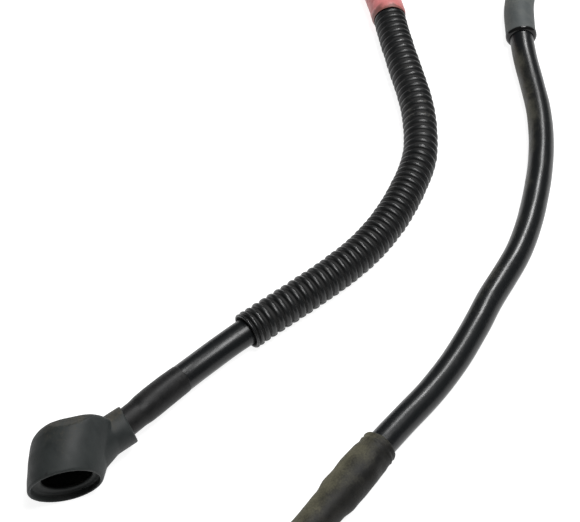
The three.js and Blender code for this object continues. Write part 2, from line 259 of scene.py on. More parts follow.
def bent_tube(
    name: str,
    route: Route,
    profile: Stations,
    sides: int,
    swell: Warp = no_warp,
    slide: Warp = no_warp,
    closed: bool = True,
) -> bpy.types.Object:
    """A turned profile bent along the route.

    Args:
        name: the object's name.
        route: the cable's centre line.
        profile: length and radius pairs; out along the outside, and back along the bore if closed.
        sides: faces round the tube.
        swell: extra radius at a length and angle.
        slide: extra length at a length and angle.
        closed: whether the profile's last ring joins its first; otherwise both ends are capped.

    Returns:
        The tube.
    """
    s0, r0 = (np.array(column)[:, None] for column in zip(*profile))
    angle = np.linspace(0.0, 2 * math.pi, sides, endpoint=False)[None, :]
    s, angle = np.broadcast_arrays(s0 + 0 * angle, angle)
    radius = r0 + swell(s, angle)
    s = s + slide(s, angle)
    across, above = radius * np.cos(angle), radius * np.sin(angle)
    vertices = route.place(across, above, s).reshape(-1, 3)
    straight = np.stack([across, above, s], axis=-1).reshape(-1, 3)
    obj = mesh_object(name, vertices, ring_faces(len(profile), sides, closed), straight)
    face_outwards(obj)
    return obj


def face_outwards(obj: bpy.types.Object) -> None:
    """Turns a closed mesh's faces outwards where its signed volume is negative."""
    work = bmesh.new()
    work.from_mesh(obj.data)
    if work.calc_volume(signed=True) < 0:
        bmesh.ops.reverse_faces(work, faces=work.faces)
    work.to_mesh(obj.data)
    work.free()


def span(start: float, end: float, step: float, radius: float) -> list[tuple[float, float]]:
    """Length and radius pairs at one radius, evenly from start up to but not including end."""
    count = max(1, round(abs(end - start) / step))
    return [(start + (end - start) * k / count, radius) for k in range(count)]


def eased_profile(corners: Stations, step: float) -> list[tuple[float, float]]:
    """Fills in a profile between corners, with soft changes of radius.

    Args:
        corners: length and radius pairs in order.
        step: the spacing of the added pairs, in metres.

    Returns:
        All pairs, the corners among them.
    """
    pairs = []
    for (s0, r0), (s1, r1) in zip(corners, corners[1:]):
        count = max(1, round(abs(s1 - s0) / step))
        for k in range(count):
            share = k / count
            pairs.append((s0 + (s1 - s0) * share, r0 + (r1 - r0) * share * share * (3 - 2 * share)))
    pairs.append(corners[-1])
    return pairs


def waves(s: np.ndarray, angle: np.ndarray, seed: int, length: float, count: int = 7) -> np.ndarray:
    """Smooth seeded unevenness between about -1 and 1, continuous round the tube.

    Args:
        s: lengths along the cable, in metres.
        angle: angles round the cable, in radians.
        seed: which unevenness.
        length: how long its swells are, in metres.
        count: how many swells are laid over each other.

    Returns:
        The unevenness at each point.
    """
    random = np.random.default_rng(seed)
    total = np.zeros_like(s + angle)
    for _ in range(count):
        around = int(random.integers(0, 5))
        along = random.normal(0.0, 2 * math.pi / length)
        total = total + np.cos(around * angle + along * s + random.uniform(0, 2 * math.pi))
    return total / math.sqrt(count)


@dataclass(frozen=True)
class Grain:
    """A noise pattern: features in a metre, octaves, strength of the finer ones and distortion."""

    scale: float
    detail: float = 4.0
    rough: float = 0.55
    twist: float = 0.0


class Graph:
    """A material's node tree, built by short calls."""

    def __init__(self, name: str) -> None:
        """Starts a material with one Principled shader."""
        self.material = bpy.data.materials.new(name)
        self.material.use_nodes = True
        self.tree = self.material.node_tree
        self.tree.nodes.clear()
        output = self.node("ShaderNodeOutputMaterial")
        self.shader = self.node("ShaderNodeBsdfPrincipled")
        self.tree.links.new(self.shader.outputs["BSDF"], output.inputs["Surface"])

    def node(self, kind: str, **settings: object) -> bpy.types.Node:
        """Adds a node and sets its properties."""
        node = self.tree.nodes.new(kind)
        for key, value in settings.items():
            setattr(node, key, value)
        return node

    def feed(self, socket: Socket, value: object) -> None:
        """Links a socket into an input, or sets the input's own value."""
        if isinstance(value, Socket):
            self.tree.links.new(value, socket)
        elif isinstance(value, tuple) and len(value) == 3 and socket.type == "RGBA":
            socket.default_value = (*value, 1.0)
        else:
            socket.default_value = value

    def set(self, **inputs: object) -> None:
        """Sets or links the shader's own inputs, with spaces written as underscores."""
        for key, value in inputs.items():
            self.feed(self.shader.inputs[key.replace("_", " ")], value)

    def attribute(self, name: str = "straight") -> Socket:
        """A vector attribute of the piece."""
        return self.node("ShaderNodeAttribute", attribute_name=name).outputs["Vector"]

    def place(self) -> Socket:
        """Object coordinates, in metres."""
        return self.node("ShaderNodeTexCoord").outputs["Object"]

    def normal(self) -> Socket:
        """The surface's normal in the part's frame."""
        return self.node("ShaderNodeNewGeometry").outputs["Normal"]

    def part(self, vector: Socket, axis: str) -> Socket:
        """One component of a vector."""
        node = self.node("ShaderNodeSeparateXYZ")
        self.feed(node.inputs[0], vector)
        return node.outputs[axis]

    def math(self, operation: str, a: object, b: object = 0.0) -> Socket:
        """One Math node."""
        node = self.node("ShaderNodeMath", operation=operation)
        self.feed(node.inputs[0], a)
        self.feed(node.inputs[1], b)
        return node.outputs[0]

    def stretch(self, vector: Socket, scale: Triple) -> Socket:
        """A vector scaled along each axis."""
        node = self.node("ShaderNodeMapping")
        self.feed(node.inputs["Vector"], vector)
        node.inputs["Scale"].default_value = scale
        return node.outputs[0]

    def noise(self, vector: Socket, grain: Grain) -> Socket:
        """Noise from about 0 to 1.

        Args:
            vector: where it is read.
            grain: the pattern.

        Returns:
            The noise's value.
        """
        node = self.node("ShaderNodeTexNoise")
        self.feed(node.inputs["Vector"], vector)
        node.inputs["Scale"].default_value = grain.scale
        node.inputs["Detail"].default_value = grain.detail
        node.inputs["Roughness"].default_value = grain.rough
        node.inputs["Distortion"].default_value = grain.twist
        return node.outputs["Fac"]

    def fade(
        self, value: object, low: float, high: float, out_low: float = 0.0, out_high: float = 1.0
    ) -> Socket:
        """A smooth step from out_low to out_high as the value goes from low to high."""
        node = self.node("ShaderNodeMapRange", interpolation_type="SMOOTHSTEP")
        feeds = {"Value": value, "From Min": low, "From Max": high, "To Min": out_low, "To Max": out_high}
        for key, item in feeds.items():
            self.feed(node.inputs[key], item)
        return node.outputs["Result"]

    def mix(self, share: object, a: object, b: object) -> Socket:
        """Mixes two colours."""
        node = self.node("ShaderNodeMix", data_type="RGBA")
        self.feed(node.inputs[0], share)
        self.feed(node.inputs[6], a)
        self.feed(node.inputs[7], b)
        return node.outputs[2]

    def blend(self, share: object, a: object, b: object) -> Socket:
        """Mixes two numbers."""
        node = self.node("ShaderNodeMix", data_type="FLOAT")
        self.feed(node.inputs[0], share)
        self.feed(node.inputs[2], a)
        self.feed(node.inputs[3], b)
        return node.outputs[0]

    def lengths(self, along: object, spans: tuple[Triple, ...], soft: float) -> object:
        """An amount at each of some stretches of the cable, with soft ends.

        Args:
            along: length along the cable, in metres.
            spans: start, end and amount of each stretch.
            soft: half the length of a soft end, in metres.

        Returns:
            The sum of the amounts.
        """
        total: object = 0.0
        for start, end, amount in spans:
            rise = self.fade(along, start - soft, start + soft, 0.0, amount)
            fall = self.fade(along, end - soft, end + soft, 0.0, amount)
            total = self.math("ADD", total, self.math("SUBTRACT", rise, fall))
        return total

    def bump(
        self, height: object, distance: float, strength: float, under: Optional[Socket] = None
    ) -> Socket:
        """A bump, laid over another where there is one.

        Args:
            height: the pattern of heights, from 0 to 1.
            distance: how high its highest places are, in metres.
            strength: how much of it shows.
            under: the bump below it.

        Returns:
            The bent normal.
        """
        node = self.node("ShaderNodeBump")
        self.feed(node.inputs["Height"], height)
        node.inputs["Distance"].default_value = distance
        node.inputs["Strength"].default_value = strength
        if under is not None:
            self.feed(node.inputs["Normal"], under)
        return node.outputs[0]


@dataclass(frozen=True)
class Dust:
    """Dry dirt on a piece, thicker where the surface looks a given way."""

    color: Triple
    toward: Triple
    cover: float
    patch_scale: float = 45.0
    grain_scale: float = 900.0
    facing: float = 0.22
    strength: float = 1.0
    softness: float = 0.6
    patch_weight: float = 1.3
    grain_weight: float = 0.7
    threshold: float = 0.55
    roughness: float = 0.9

    def mask(self, g: Graph, where: Socket, extra: object = 0.0) -> Socket:
        """How much of the surface the dirt hides.

        Args:
            g: the material being built.
            where: the vector that the patches are read at.
            extra: more cover at some places.

        Returns:
            A value from 0 to 1.
        """
        facing = g.node("ShaderNodeVectorMath", operation="DOT_PRODUCT")
        g.feed(facing.inputs[0], g.normal())
        facing.inputs[1].default_value = Vector(self.toward).normalized()
        patches = g.noise(where, Grain(self.patch_scale, 5.0, 0.6, 0.4))
        grain = g.noise(where, Grain(self.grain_scale, 3.0, 0.7))
        level = g.math("ADD", g.math("MULTIPLY", facing.outputs["Value"], self.facing), self.cover)
        level = g.math("ADD", level, extra)
        for noise, weight in ((patches, self.patch_weight), (grain, self.grain_weight)):
            level = g.math("ADD", level, g.math("MULTIPLY", g.math("SUBTRACT", noise, 0.5), weight))
        low, high = self.threshold - self.softness / 2, self.threshold + self.softness / 2
        return g.fade(level, low, high, 0.0, self.strength)


@dataclass(frozen=True)
class JacketFinish:
    """Satin black cable jacket, with khaki dust along its length."""

    base: Triple = (0.0048, 0.0056, 0.0062)
    worn: Triple = (0.0095, 0.0098, 0.0095)
    roughness: float = 0.31
    specular: float = 0.32
    dust: Dust = Dust(
        color=(0.1, 0.095, 0.07), toward=(-0.97, 0.1, 0.2), cover=-0.3, facing=0.6, strength=0.7,
        softness=0.8, roughness=0.85,
    )
    dusty_lengths: tuple[Triple, ...] = ((0.985, 1.075, 0.34), (1.175, 1.225, 0.2))
    dusty_ends: float = 0.02
    drawn_lines: Grain = Grain(1400.0, 2.0)
    rubs: Grain = Grain(120.0, 6.0, 0.7, 1.2)
    dimples: Grain = Grain(260.0)

    def build(self) -> bpy.types.Material:
        """Builds the material."""
        g = Graph("cable_jacket")
        straight = g.attribute()
        extra = g.lengths(g.part(straight, "Z"), self.dusty_lengths, self.dusty_ends)
        dust = self.dust.mask(g, straight, extra)
        drawn = g.noise(g.stretch(straight, (1.0, 1.0, 0.05)), self.drawn_lines)
        rub = g.fade(g.noise(straight, self.rubs), 0.54, 0.76)
        color = g.mix(rub, self.base, self.worn)
        color = g.mix(dust, color, self.dust.color)
        rough = g.math("ADD", g.math("MULTIPLY", drawn, 0.08), self.roughness - 0.04)
        rough = g.math("ADD", rough, g.math("MULTIPLY", rub, 0.12))
        rough = g.blend(dust, rough, self.dust.roughness)
        fine = g.bump(drawn, 0.00006, 0.5)
        fine = g.bump(g.noise(straight, self.dimples), 0.0001, 0.5, fine)
        fine = g.bump(dust, 0.00006, 0.6, fine)
        g.set(Base_Color=color, Roughness=rough, Normal=fine, Specular_IOR_Level=self.specular)
        return g.material


@dataclass(frozen=True)
class LoomFinish:
    """Black ribbed plastic: clean crowns, grooves darkened by painted shade, and grey scuffs."""

    base: Triple = (0.0062, 0.0068, 0.0072)
    scuff: Triple = (0.07, 0.066, 0.056)
    # painted shade: the colour that the grooves between the ribs are darkened to
    painted_groove_shade: Triple = (0.0022, 0.0022, 0.0022)
    roughness: float = 0.36
    specular: float = 0.4
    scuffed_lengths: tuple[Triple, ...] = (
        (0.235, 0.25, 0.1), (0.31, 0.335, 0.14), (0.36, 0.41, 0.05),
    )
    scuffed_ends: float = 0.01
    scratches: Grain = Grain(420.0, 6.0, 0.72, 2.0)
    patches: Grain = Grain(60.0, 4.0, 0.6, 0.6)
    clouds: Grain = Grain(150.0, 5.0, 0.6)
    skin: Grain = Grain(700.0, 4.0, 0.6)

    def build(self) -> bpy.types.Material:
        """Builds the material."""
        g = Graph("loom_plastic")
        straight = g.attribute()
        crown = g.node("ShaderNodeAttribute", attribute_name="crown").outputs["Fac"]
        extra = g.lengths(g.part(straight, "Z"), self.scuffed_lengths, self.scuffed_ends)
        scratches = g.noise(g.stretch(straight, (1.0, 1.0, 0.35)), self.scratches)
        patches = g.noise(straight, self.patches)
        level = g.math("ADD", g.math("ADD", scratches, g.math("MULTIPLY", patches, 0.55)), extra)
        scuffs = g.math("MULTIPLY", g.fade(level, 0.9, 1.1), g.fade(crown, 0.6, 0.95))
        # painted shade: the plastic is darkened down into the grooves between the ribs
        color = g.mix(g.fade(crown, 0.0, 0.8), self.painted_groove_shade, self.base)
        color = g.mix(g.math("MULTIPLY", scuffs, 0.7), color, self.scuff)
        cloud = g.noise(straight, self.clouds)
        rough = g.fade(cloud, 0.3, 0.7, self.roughness - 0.06, self.roughness + 0.08)
        rough = g.blend(scuffs, rough, 0.6)
        rough = g.blend(g.fade(crown, 0.0, 0.6), 0.75, rough)
        fine = g.bump(g.noise(straight, self.skin), 0.00004, 0.6)
        fine = g.bump(scratches, 0.00008, 0.35, fine)
        g.set(Base_Color=color, Roughness=rough, Normal=fine, Specular_IOR_Level=self.specular)
        return g.material


class Skin(Enum):
    """The kinds of shrink tube on the cable."""

    BLACK = "black_shrink"
    RED = "red_shrink"
    GREY = "grey_shrink"
    DUSTY = "dusty_shrink"


@dataclass(frozen=True)
class SleeveFinish:
    """Shrink tube: its colour, its dirt, and where its mouth is glossy with adhesive."""

    skin: Skin
    base: Triple
    second: Triple
    roughness: float
    dust: Dust
    mottle: Grain = Grain(90.0, 6.0, 0.65, 0.7)
    lumps: Grain = Grain(180.0, 5.0, 0.6)
    grain: Grain = Grain(800.0, 4.0, 0.65)
    relief: float = 0.0001
    mouth: Optional[tuple[float, float]] = None
    edge: Optional[tuple[float, float, Triple]] = None
    specular: float = 0.3
    bead_color: Triple = (0.006, 0.006, 0.006)
    bead_roughness: float = 0.12

    def build(self) -> bpy.types.Material:
        """Builds the material."""
        g = Graph(self.skin.value)
        straight = g.attribute()
        mottle = g.fade(g.noise(straight, self.mottle), 0.35, 0.68)
        color = g.mix(mottle, self.base, self.second)
        dust = self.dust.mask(g, straight)
        grain = g.noise(straight, self.grain)
        rough = g.math("ADD", g.math("MULTIPLY", mottle, 0.08), self.roughness)
        rough = g.blend(dust, rough, self.dust.roughness)
        color = g.mix(dust, color, self.dust.color)
        if self.mouth is not None:
            bead = g.fade(g.part(straight, "Z"), *self.mouth)
            color = g.mix(bead, color, self.bead_color)
            rough = g.blend(bead, rough, self.bead_roughness)
        if self.edge is not None:
            first, last, stain = self.edge
            near = g.math("ADD", g.part(straight, "Z"), g.fade(mottle, 0.0, 1.0, -0.003, 0.003))
            color = g.mix(g.fade(near, first, last, 0.8, 0.0), color, stain)
        fine = g.bump(grain, self.relief, 0.5)
        fine = g.bump(g.noise(straight, self.lumps), self.relief * 2.0, 0.5, fine)
        fine = g.bump(dust, 0.0001, 0.6, fine)
        g.set(Base_Color=color, Roughness=rough, Normal=fine, Specular_IOR_Level=self.specular)
        return g.material


@dataclass(frozen=True)
class BootFinish:
    """Matt dark rubber, greyed by fine dust, with smudges and with painted shade inside its mouth."""

    base: Triple = (0.012, 0.0145, 0.0145)
    # the smudges' colour, which is also the painted shade inside the mouth
    pale: Triple = (0.022, 0.0255, 0.025)
    smudge_and_shade: Triple = (0.005, 0.005, 0.005)
    dust: Dust = Dust(
        color=(0.085, 0.072, 0.05), toward=(-0.12, 0.6, 0.79), cover=-0.34, patch_scale=60.0,
        grain_scale=700.0, facing=0.8, strength=0.55, roughness=0.92,
    )
    clouds: Grain = Grain(55.0, 5.0, 0.6, 0.5)
    smudges: Grain = Grain(130.0, 4.0, 0.6, 1.5)
    grain: Grain = Grain(900.0, 4.0, 0.65)
    lumps: Grain = Grain(200.0, 4.0, 0.6)
    # how far the inside of the mouth is darkened, as painted shade
    inside_shade_share: float = 0.4
    specular: float = 0.25

    def build(self) -> bpy.types.Material:
        """Builds the material."""
        g = Graph("boot_rubber")
        where = g.place()
        cloud = g.fade(g.noise(where, self.clouds), 0.3, 0.7)
        marks = g.fade(g.noise(where, self.smudges), 0.66, 0.74)
        color = g.mix(cloud, self.base, self.pale)
        color = g.mix(g.math("MULTIPLY", marks, 0.5), color, self.smudge_and_shade)
        dust = self.dust.mask(g, where)
        color = g.mix(dust, color, self.dust.color)
        # painted shade: the inside of the cup's mouth is darkened towards the smudge colour
        inside = g.node("ShaderNodeAttribute", attribute_name="inside").outputs["Fac"]
        color = g.mix(g.math("MULTIPLY", inside, self.inside_shade_share), color, self.smudge_and_shade)
        rough = g.blend(dust, g.fade(cloud, 0.0, 1.0, 0.52, 0.66), self.dust.roughness)
        fine = g.bump(g.noise(where, self.grain), 0.00008, 0.6)
        fine = g.bump(g.noise(where, self.lumps), 0.0002, 0.4, fine)
        g.set(Base_Color=color, Roughness=rough, Normal=fine, Specular_IOR_Level=self.specular)
        return g.material


@dataclass(frozen=True)
class LugFinish:
    """Dull tinned copper, with duller stains and fine scratches."""

    bright: Triple = (0.62, 0.61, 0.58)
    dull: Triple = (0.36, 0.34, 0.30)
    stains: Grain = Grain(160.0, 6.0, 0.65, 0.8)
    scratches: Grain = Grain(1800.0, 3.0)
    lumps: Grain = Grain(400.0)

    def build(self) -> bpy.types.Material:
        """Builds the material."""
        g = Graph("tinned_metal")
        where = g.place()
        stain = g.fade(g.noise(where, self.stains), 0.4, 0.65)
        scratch = g.noise(g.stretch(where, (1.0, 0.15, 1.0)), self.scratches)
        rough = g.math("ADD", g.fade(stain, 0.0, 1.0, 0.3, 0.5), g.math("MULTIPLY", scratch, 0.12))
        fine = g.bump(scratch, 0.00004, 0.5)
        fine = g.bump(g.noise(where, self.lumps), 0.00006, 0.5, fine)
        g.set(Base_Color=g.mix(stain, self.bright, self.dull), Roughness=rough, Normal=fine, Metallic=1.0)
        return g.material


@dataclass
class Cable:
    """The jacketed cable, from one lug's barrel to the other's."""

    route: Route
    diameter: float = 0.018
    ring_step: float = 0.0025
    sides: int = 36
    unevenness: float = 0.00006
    swell_length: float = 0.07
    path_step: int = 6
    seed: int = 3

    def build(self, finish: bpy.types.Material) -> bpy.types.Object:
        """Builds and dresses the cable.

        Args:
            finish: the jacket's material.

        Returns:
            The cable.
        """
        radius = self.diameter / 2
        profile = [*span(0.0, self.route.length, self.ring_step, radius), (self.route.length, radius)]
        cable = bent_tube("cable_jacket", self.route, profile, self.sides, self._swell, closed=False)
        cable.data.materials.append(finish)
        return cable

    def _swell(self, s: np.ndarray, angle: np.ndarray) -> np.ndarray:
        """Slight unevenness of the extruded jacket."""
        return self.unevenness * waves(s, angle, self.seed, self.swell_length)


class NodeTree:
    """A Geometry Nodes tree with named inputs, built by short calls."""

    def __init__(self, name: str) -> None:
        """Starts a tree with a geometry input and output."""
        self.tree = bpy.data.node_groups.new(name, "GeometryNodeTree")
        self.tree.is_modifier = True
        self.tree.interface.new_socket("Geometry", in_out="INPUT", socket_type="NodeSocketGeometry")
        self.tree.interface.new_socket("Geometry", in_out="OUTPUT", socket_type="NodeSocketGeometry")
        self.inputs = self.tree.nodes.new("NodeGroupInput")
        self.output = self.tree.nodes.new("NodeGroupOutput")
        self.values: dict[str, object] = {}

    def size(self, name: str, value: object) -> Socket:
        """Adds a named input and remembers its value for the modifier.

        Args:
            name: the input's name.
            value: a number, whole number or material.

        Returns:
            The socket inside the tree.
        """
        kind = "NodeSocketMaterial"
        if isinstance(value, int):
            kind = "NodeSocketInt"
        elif isinstance(value, float):
            kind = "NodeSocketFloat"
        item = self.tree.interface.new_socket(name, in_out="INPUT", socket_type=kind)
        self.values[item.identifier] = value
        return next(s for s in self.inputs.outputs if s.identifier == item.identifier)

    def node(
        self, kind: str, feeds: Optional[dict[object, object]] = None, **settings: object
    ) -> bpy.types.Node:
        """Adds a node, sets its properties and feeds its inputs.

        Args:
            kind: the node's type.
            feeds: sockets or values by the inputs' names or numbers.
            settings: the node's properties.

        Returns:
            The node.
        """
        node = self.tree.nodes.new(kind)
        for key, value in settings.items():
            setattr(node, key, value)
        for key, value in (feeds or {}).items():
            socket = node.inputs[key]
            if isinstance(value, Socket):
                self.tree.links.new(value, socket)
            else:
                socket.default_value = value
        return node

    def math(self, operation: str, a: object, b: object = 0.0, c: object = 0.0) -> Socket:
        """One Math node."""
        return self.node("ShaderNodeMath", {0: a, 1: b, 2: c}, operation=operation).outputs[0]

    def step(
        self, value: object, low: object, high: object, out_low: object = 0.0, out_high: object = 1.0
    ) -> Socket:
        """A smooth step between two values."""
        feeds = {0: value, 1: low, 2: high, 3: out_low, 4: out_high}
        return self.node("ShaderNodeMapRange", feeds, interpolation_type="SMOOTHSTEP").outputs[0]

    def vector(self, operation: str, a: object, b: object = None, scale: object = None) -> Socket:
        """One Vector Math node."""
        feeds: dict[object, object] = {0: a}
        if b is not None:
            feeds[1] = b
        if scale is not None:
            feeds["Scale"] = scale
        return self.node("ShaderNodeVectorMath", feeds, operation=operation).outputs[0]

    def choose(self, test: Socket, off: Socket, on: Socket) -> Socket:
        """The first number where the test is 0, and the second where it is 1."""
        return self.node("GeometryNodeSwitch", {0: test, 1: off, 2: on}, input_type="FLOAT").outputs[0]

    def random(self, number: Socket, seed: Socket, extra: int) -> Socket:
        """A seeded random number from -1 to 1 for each whole number."""
        feeds = {2: -1.0, 3: 1.0, "ID": number, "Seed": self.math("ADD", seed, float(extra))}
        return self.node("FunctionNodeRandomValue", feeds).outputs[1]

    def keep(self, geometry: Socket, name: str, value: Socket, kind: str) -> Socket:
        """Keeps a value as an attribute of the mesh."""
        feeds = {"Geometry": geometry, "Name": name, "Value": value}
        return self.node("GeometryNodeStoreNamedAttribute", feeds, data_type=kind).outputs[0]

    def finish(self, geometry: Socket) -> None:
        """Links the result to the output."""
        self.tree.links.new(geometry, self.output.inputs[0])

    def bake(self, source: bpy.types.Object, name: str) -> bpy.types.Object:
        """Runs the tree on an object and keeps the result as a plain mesh object.

        Args:
            source: the object that the tree reads; it is deleted afterwards.
            name: the new object's name.

        Returns:
            The result, linked to the scene.
        """
        modifier = source.modifiers.new("shape", "NODES")
        modifier.node_group = self.tree
        for identifier, value in self.values.items():
            modifier[identifier] = value
        source.update_tag()
        bpy.context.view_layer.update()
        evaluated = source.evaluated_get(bpy.context.evaluated_depsgraph_get())
        mesh = bpy.data.meshes.new_from_object(evaluated, preserve_all_data_layers=True)
        mesh.name = name
        result = bpy.data.objects.new(name, mesh)
        bpy.context.scene.collection.objects.link(result)
        source.modifiers.remove(modifier)
        bpy.data.objects.remove(source)
        return result


@dataclass
class LoomGrid:
    """The loom's grid of corners and what its tree knows of each corner, as sockets."""

    mesh: Socket
    inner: Socket
    share: Socket
    around: Socket
    from_slit: Socket
    first_side: Socket


@dataclass
class SplitLoom:
    """Ribbed tube over the left stretch, slit along its length."""

    route: Route
    start: float = 0.087
    end: float = 0.46488
    ribs: int = 67
    crests: tuple[tuple[int, float], ...] = (
        (0, 0.0877), (1, 0.0910), (5, 0.1135), (9, 0.1365), (13, 0.1585), (17, 0.1795), (21, 0.2003),
        (25, 0.2208), (29, 0.2415), (33, 0.2620), (37, 0.2848), (41, 0.3097), (45, 0.3350), (49, 0.3587),
        (53, 0.3832), (57, 0.4065), (61, 0.4285),
    )
    outer_radius: float = 0.0124
    rib_depth: float = 0.0016
    crown_share: float = 0.42
    slope_share: float = 0.34
    crown_round: float = 0.0003
    bore_radius: float = 0.0098
    mouth_flare: float = 0.0007
    cut_phase: float = 0.28
    rings_per_rib: int = 12
    sides: int = 60
    slit_angle: float = math.radians(196.0)
    slit_width: float = 0.012
    slit_depth: float = 0.0007
    slit_slip: float = 0.0006
    crowding: float = 0.62
    unevenness: float = 0.00013
    rib_lean: float = 0.00022
    seed: int = 5
    most_rounding: float = 1.6
    mouth_reach: float = 0.006
    still_reach: float = 0.004
    lap_share: float = 0.35
    lap_reach: float = 0.2
    slip_reach: float = 0.16
    merge_distance: float = 0.000002

    def build(self, finish: bpy.types.Material) -> bpy.types.Object:
        """Builds the loom with Geometry Nodes along the route.

        Args:
            finish: its material.

        Returns:
            The loom.
        """
        loom = self._tree(finish).bake(self._guide(), "ribbed_loom")
        face_outwards(loom)
        return loom

    def _guide(self) -> bpy.types.Object:
        """The route as a curve object, which the tree samples."""
        data = bpy.data.curves.new("loom_guide", "CURVE")
        data.dimensions = "3D"
        points = self.route.points[::2]
        spline = data.splines.new("POLY")
        spline.points.add(len(points) - 1)
        for point, place in zip(spline.points, points):
            point.co = (*place, 1.0)
        guide = bpy.data.objects.new("loom_guide", data)
        bpy.context.scene.collection.objects.link(guide)
        return guide

    def _spacing(self, t: NodeTree, share: Socket) -> Socket:
        """Spreads the ribs unevenly along the loom, as its bends pull them apart or together.

        Args:
            t: the tree being built.
            share: an even share of the loom's ribs, from 0 to 1.

        Returns:
            The share of its length that they take up.
        """
        curve = t.node("ShaderNodeFloatCurve", {"Factor": 1.0, "Value": share})
        points = curve.mapping.curves[0].points
        points[0].location, points[-1].location = (0.0, 0.0), (1.0, 1.0)
        for rib, place in self.crests:
            even = (rib + 0.5 - self.cut_phase) / self.ribs
            points.new(even, (place - self.start) / (self.end - self.start))
        curve.mapping.update()
        return curve.outputs[0]

    def _sizes(self, t: NodeTree) -> dict[str, Socket]:
        """Makes the loom's sizes the tree's named inputs.

        Args:
            t: the tree being built.

        Returns:
            The sockets by the sizes' names.
        """
        names = (
            "ribs", "rings_per_rib", "sides", "start", "end", "outer_radius", "rib_depth", "crown_share",
            "slope_share", "crown_round", "bore_radius", "mouth_flare", "cut_phase", "slit_angle",
            "slit_width", "slit_depth", "slit_slip", "crowding", "unevenness", "rib_lean", "seed",
        )
        return {name: t.size(name.replace("_", " ").title(), getattr(self, name)) for name in names}

    def _grid(self, t: NodeTree, size: dict[str, Socket]) -> LoomGrid:
        """Makes the grid, with rows out along the ribs and back along the bore.

        Args:
            t: the tree being built.
            size: its named inputs.

        Returns:
            The grid.
        """
        outer_rows = t.math("ADD", t.math("MULTIPLY", size["ribs"], size["rings_per_rib"]), 1.0)
        inner_rows = t.math("ADD", size["ribs"], 1.0)
        rows = t.math("ADD", outer_rows, inner_rows)
        columns = t.math("ADD", size["sides"], 1.0)
        counts = {"Vertices X": t.math("ADD", rows, 1.0), "Vertices Y": columns}
        mesh = t.node("GeometryNodeMeshGrid", counts).outputs[0]
        index = t.node("GeometryNodeInputIndex").outputs[0]
        raw_row = t.math("FLOOR", t.math("DIVIDE", t.math("ADD", index, 0.5), columns))
        column = t.math("SUBTRACT", index, t.math("MULTIPLY", raw_row, columns))
        row = t.math("MODULO", raw_row, rows)
        inner = t.math("GREATER_THAN", row, t.math("SUBTRACT", outer_rows, 0.5))

        out_share = t.math("DIVIDE", row, t.math("SUBTRACT", outer_rows, 1.0))
        in_row = t.math("SUBTRACT", row, outer_rows)
        back_share = t.math("DIVIDE", in_row, t.math("SUBTRACT", inner_rows, 1.0))
        share = t.choose(inner, out_share, t.math("SUBTRACT", 1.0, back_share))
        around = t.math("DIVIDE", column, size["sides"])
        from_slit = t.math("MINIMUM", around, t.math("SUBTRACT", 1.0, around))
        return LoomGrid(mesh, inner, share, around, from_slit, t.math("LESS_THAN", around, 0.5))

    def _ribs(
        self, t: NodeTree, size: dict[str, Socket], share: Socket
    ) -> tuple[Socket, Socket, Socket]:
        """The shape of the ribs along the loom.

        Args:
            t: the tree being built.
            size: its named inputs.
            share: the share of the ribs that has been passed.

        Returns:
            The rib's number, its height there from 0 to 1, and how far its crown is rounded off.
        """
        turn = t.math("ADD", t.math("MULTIPLY", share, size["ribs"]), size["cut_phase"])
        from_middle = t.math("ABSOLUTE", t.math("SUBTRACT", t.math("FRACT", turn), 0.5))
        off_crown = t.math("MULTIPLY", from_middle, 2.0)
        foot = t.math("ADD", size["crown_share"], size["slope_share"])
        height = t.step(off_crown, size["crown_share"], foot, 1.0, 0.0)
        rounded = t.math("POWER", t.math("DIVIDE", off_crown, size["crown_share"]), 2.0)
        return t.math("FLOOR", turn), height, t.math("MINIMUM", rounded, self.most_rounding)

    def _angle(self, t: NodeTree, size: dict[str, Socket], around: Socket) -> Socket:
        """The angle round the cable, with the corners crowded near the slit.

        Args:
            t: the tree being built.
            size: its named inputs.
            around: the share of a turn from the slit.

        Returns:
            The angle in radians.
        """
        full = t.math("MULTIPLY", around, 2 * math.pi)
        crowded = t.math("MULTIPLY", t.math("SINE", full), size["crowding"])
        return t.math("ADD", t.math("SUBTRACT", full, crowded), size["slit_angle"])

    def _skin(self, t: NodeTree, size: dict[str, Socket], height: Socket, rounded: Socket) -> Socket:
        """The outer radius of the ribs, before the slit.

        Args:
            t: the tree being built.
            size: its named inputs.
            height: the rib's height there.
            rounded: how far its crown is rounded off.

        Returns:
            The radius.
        """
        dip = t.math("MULTIPLY", size["rib_depth"], t.math("SUBTRACT", 1.0, height))
        radius = t.math("SUBTRACT", size["outer_radius"], dip)
        worn = t.math("MULTIPLY", size["crown_round"], t.math("MULTIPLY", rounded, height))
        return t.math("SUBTRACT", radius, worn)

    def _slit(self, t: NodeTree, size: dict[str, Socket], grid: LoomGrid, radius: Socket) -> Socket:
        """Cuts the slit's line into the skin, and lifts the skin on its first side.

        Args:
            t: the tree being built.
            size: its named inputs.
            grid: the grid of corners.
            radius: the outer radius without the slit.

        Returns:
            The radius with it.
        """
        notch = t.step(grid.from_slit, 0.0, size["slit_width"], size["slit_depth"], 0.0)
        lap_height = t.math("MULTIPLY", size["slit_depth"], self.lap_share)
        lap = t.step(grid.from_slit, size["slit_width"], self.lap_reach, lap_height, 0.0)
        lap = t.math("MULTIPLY", lap, grid.first_side)
        return t.math("ADD", t.math("SUBTRACT", radius, notch), lap)

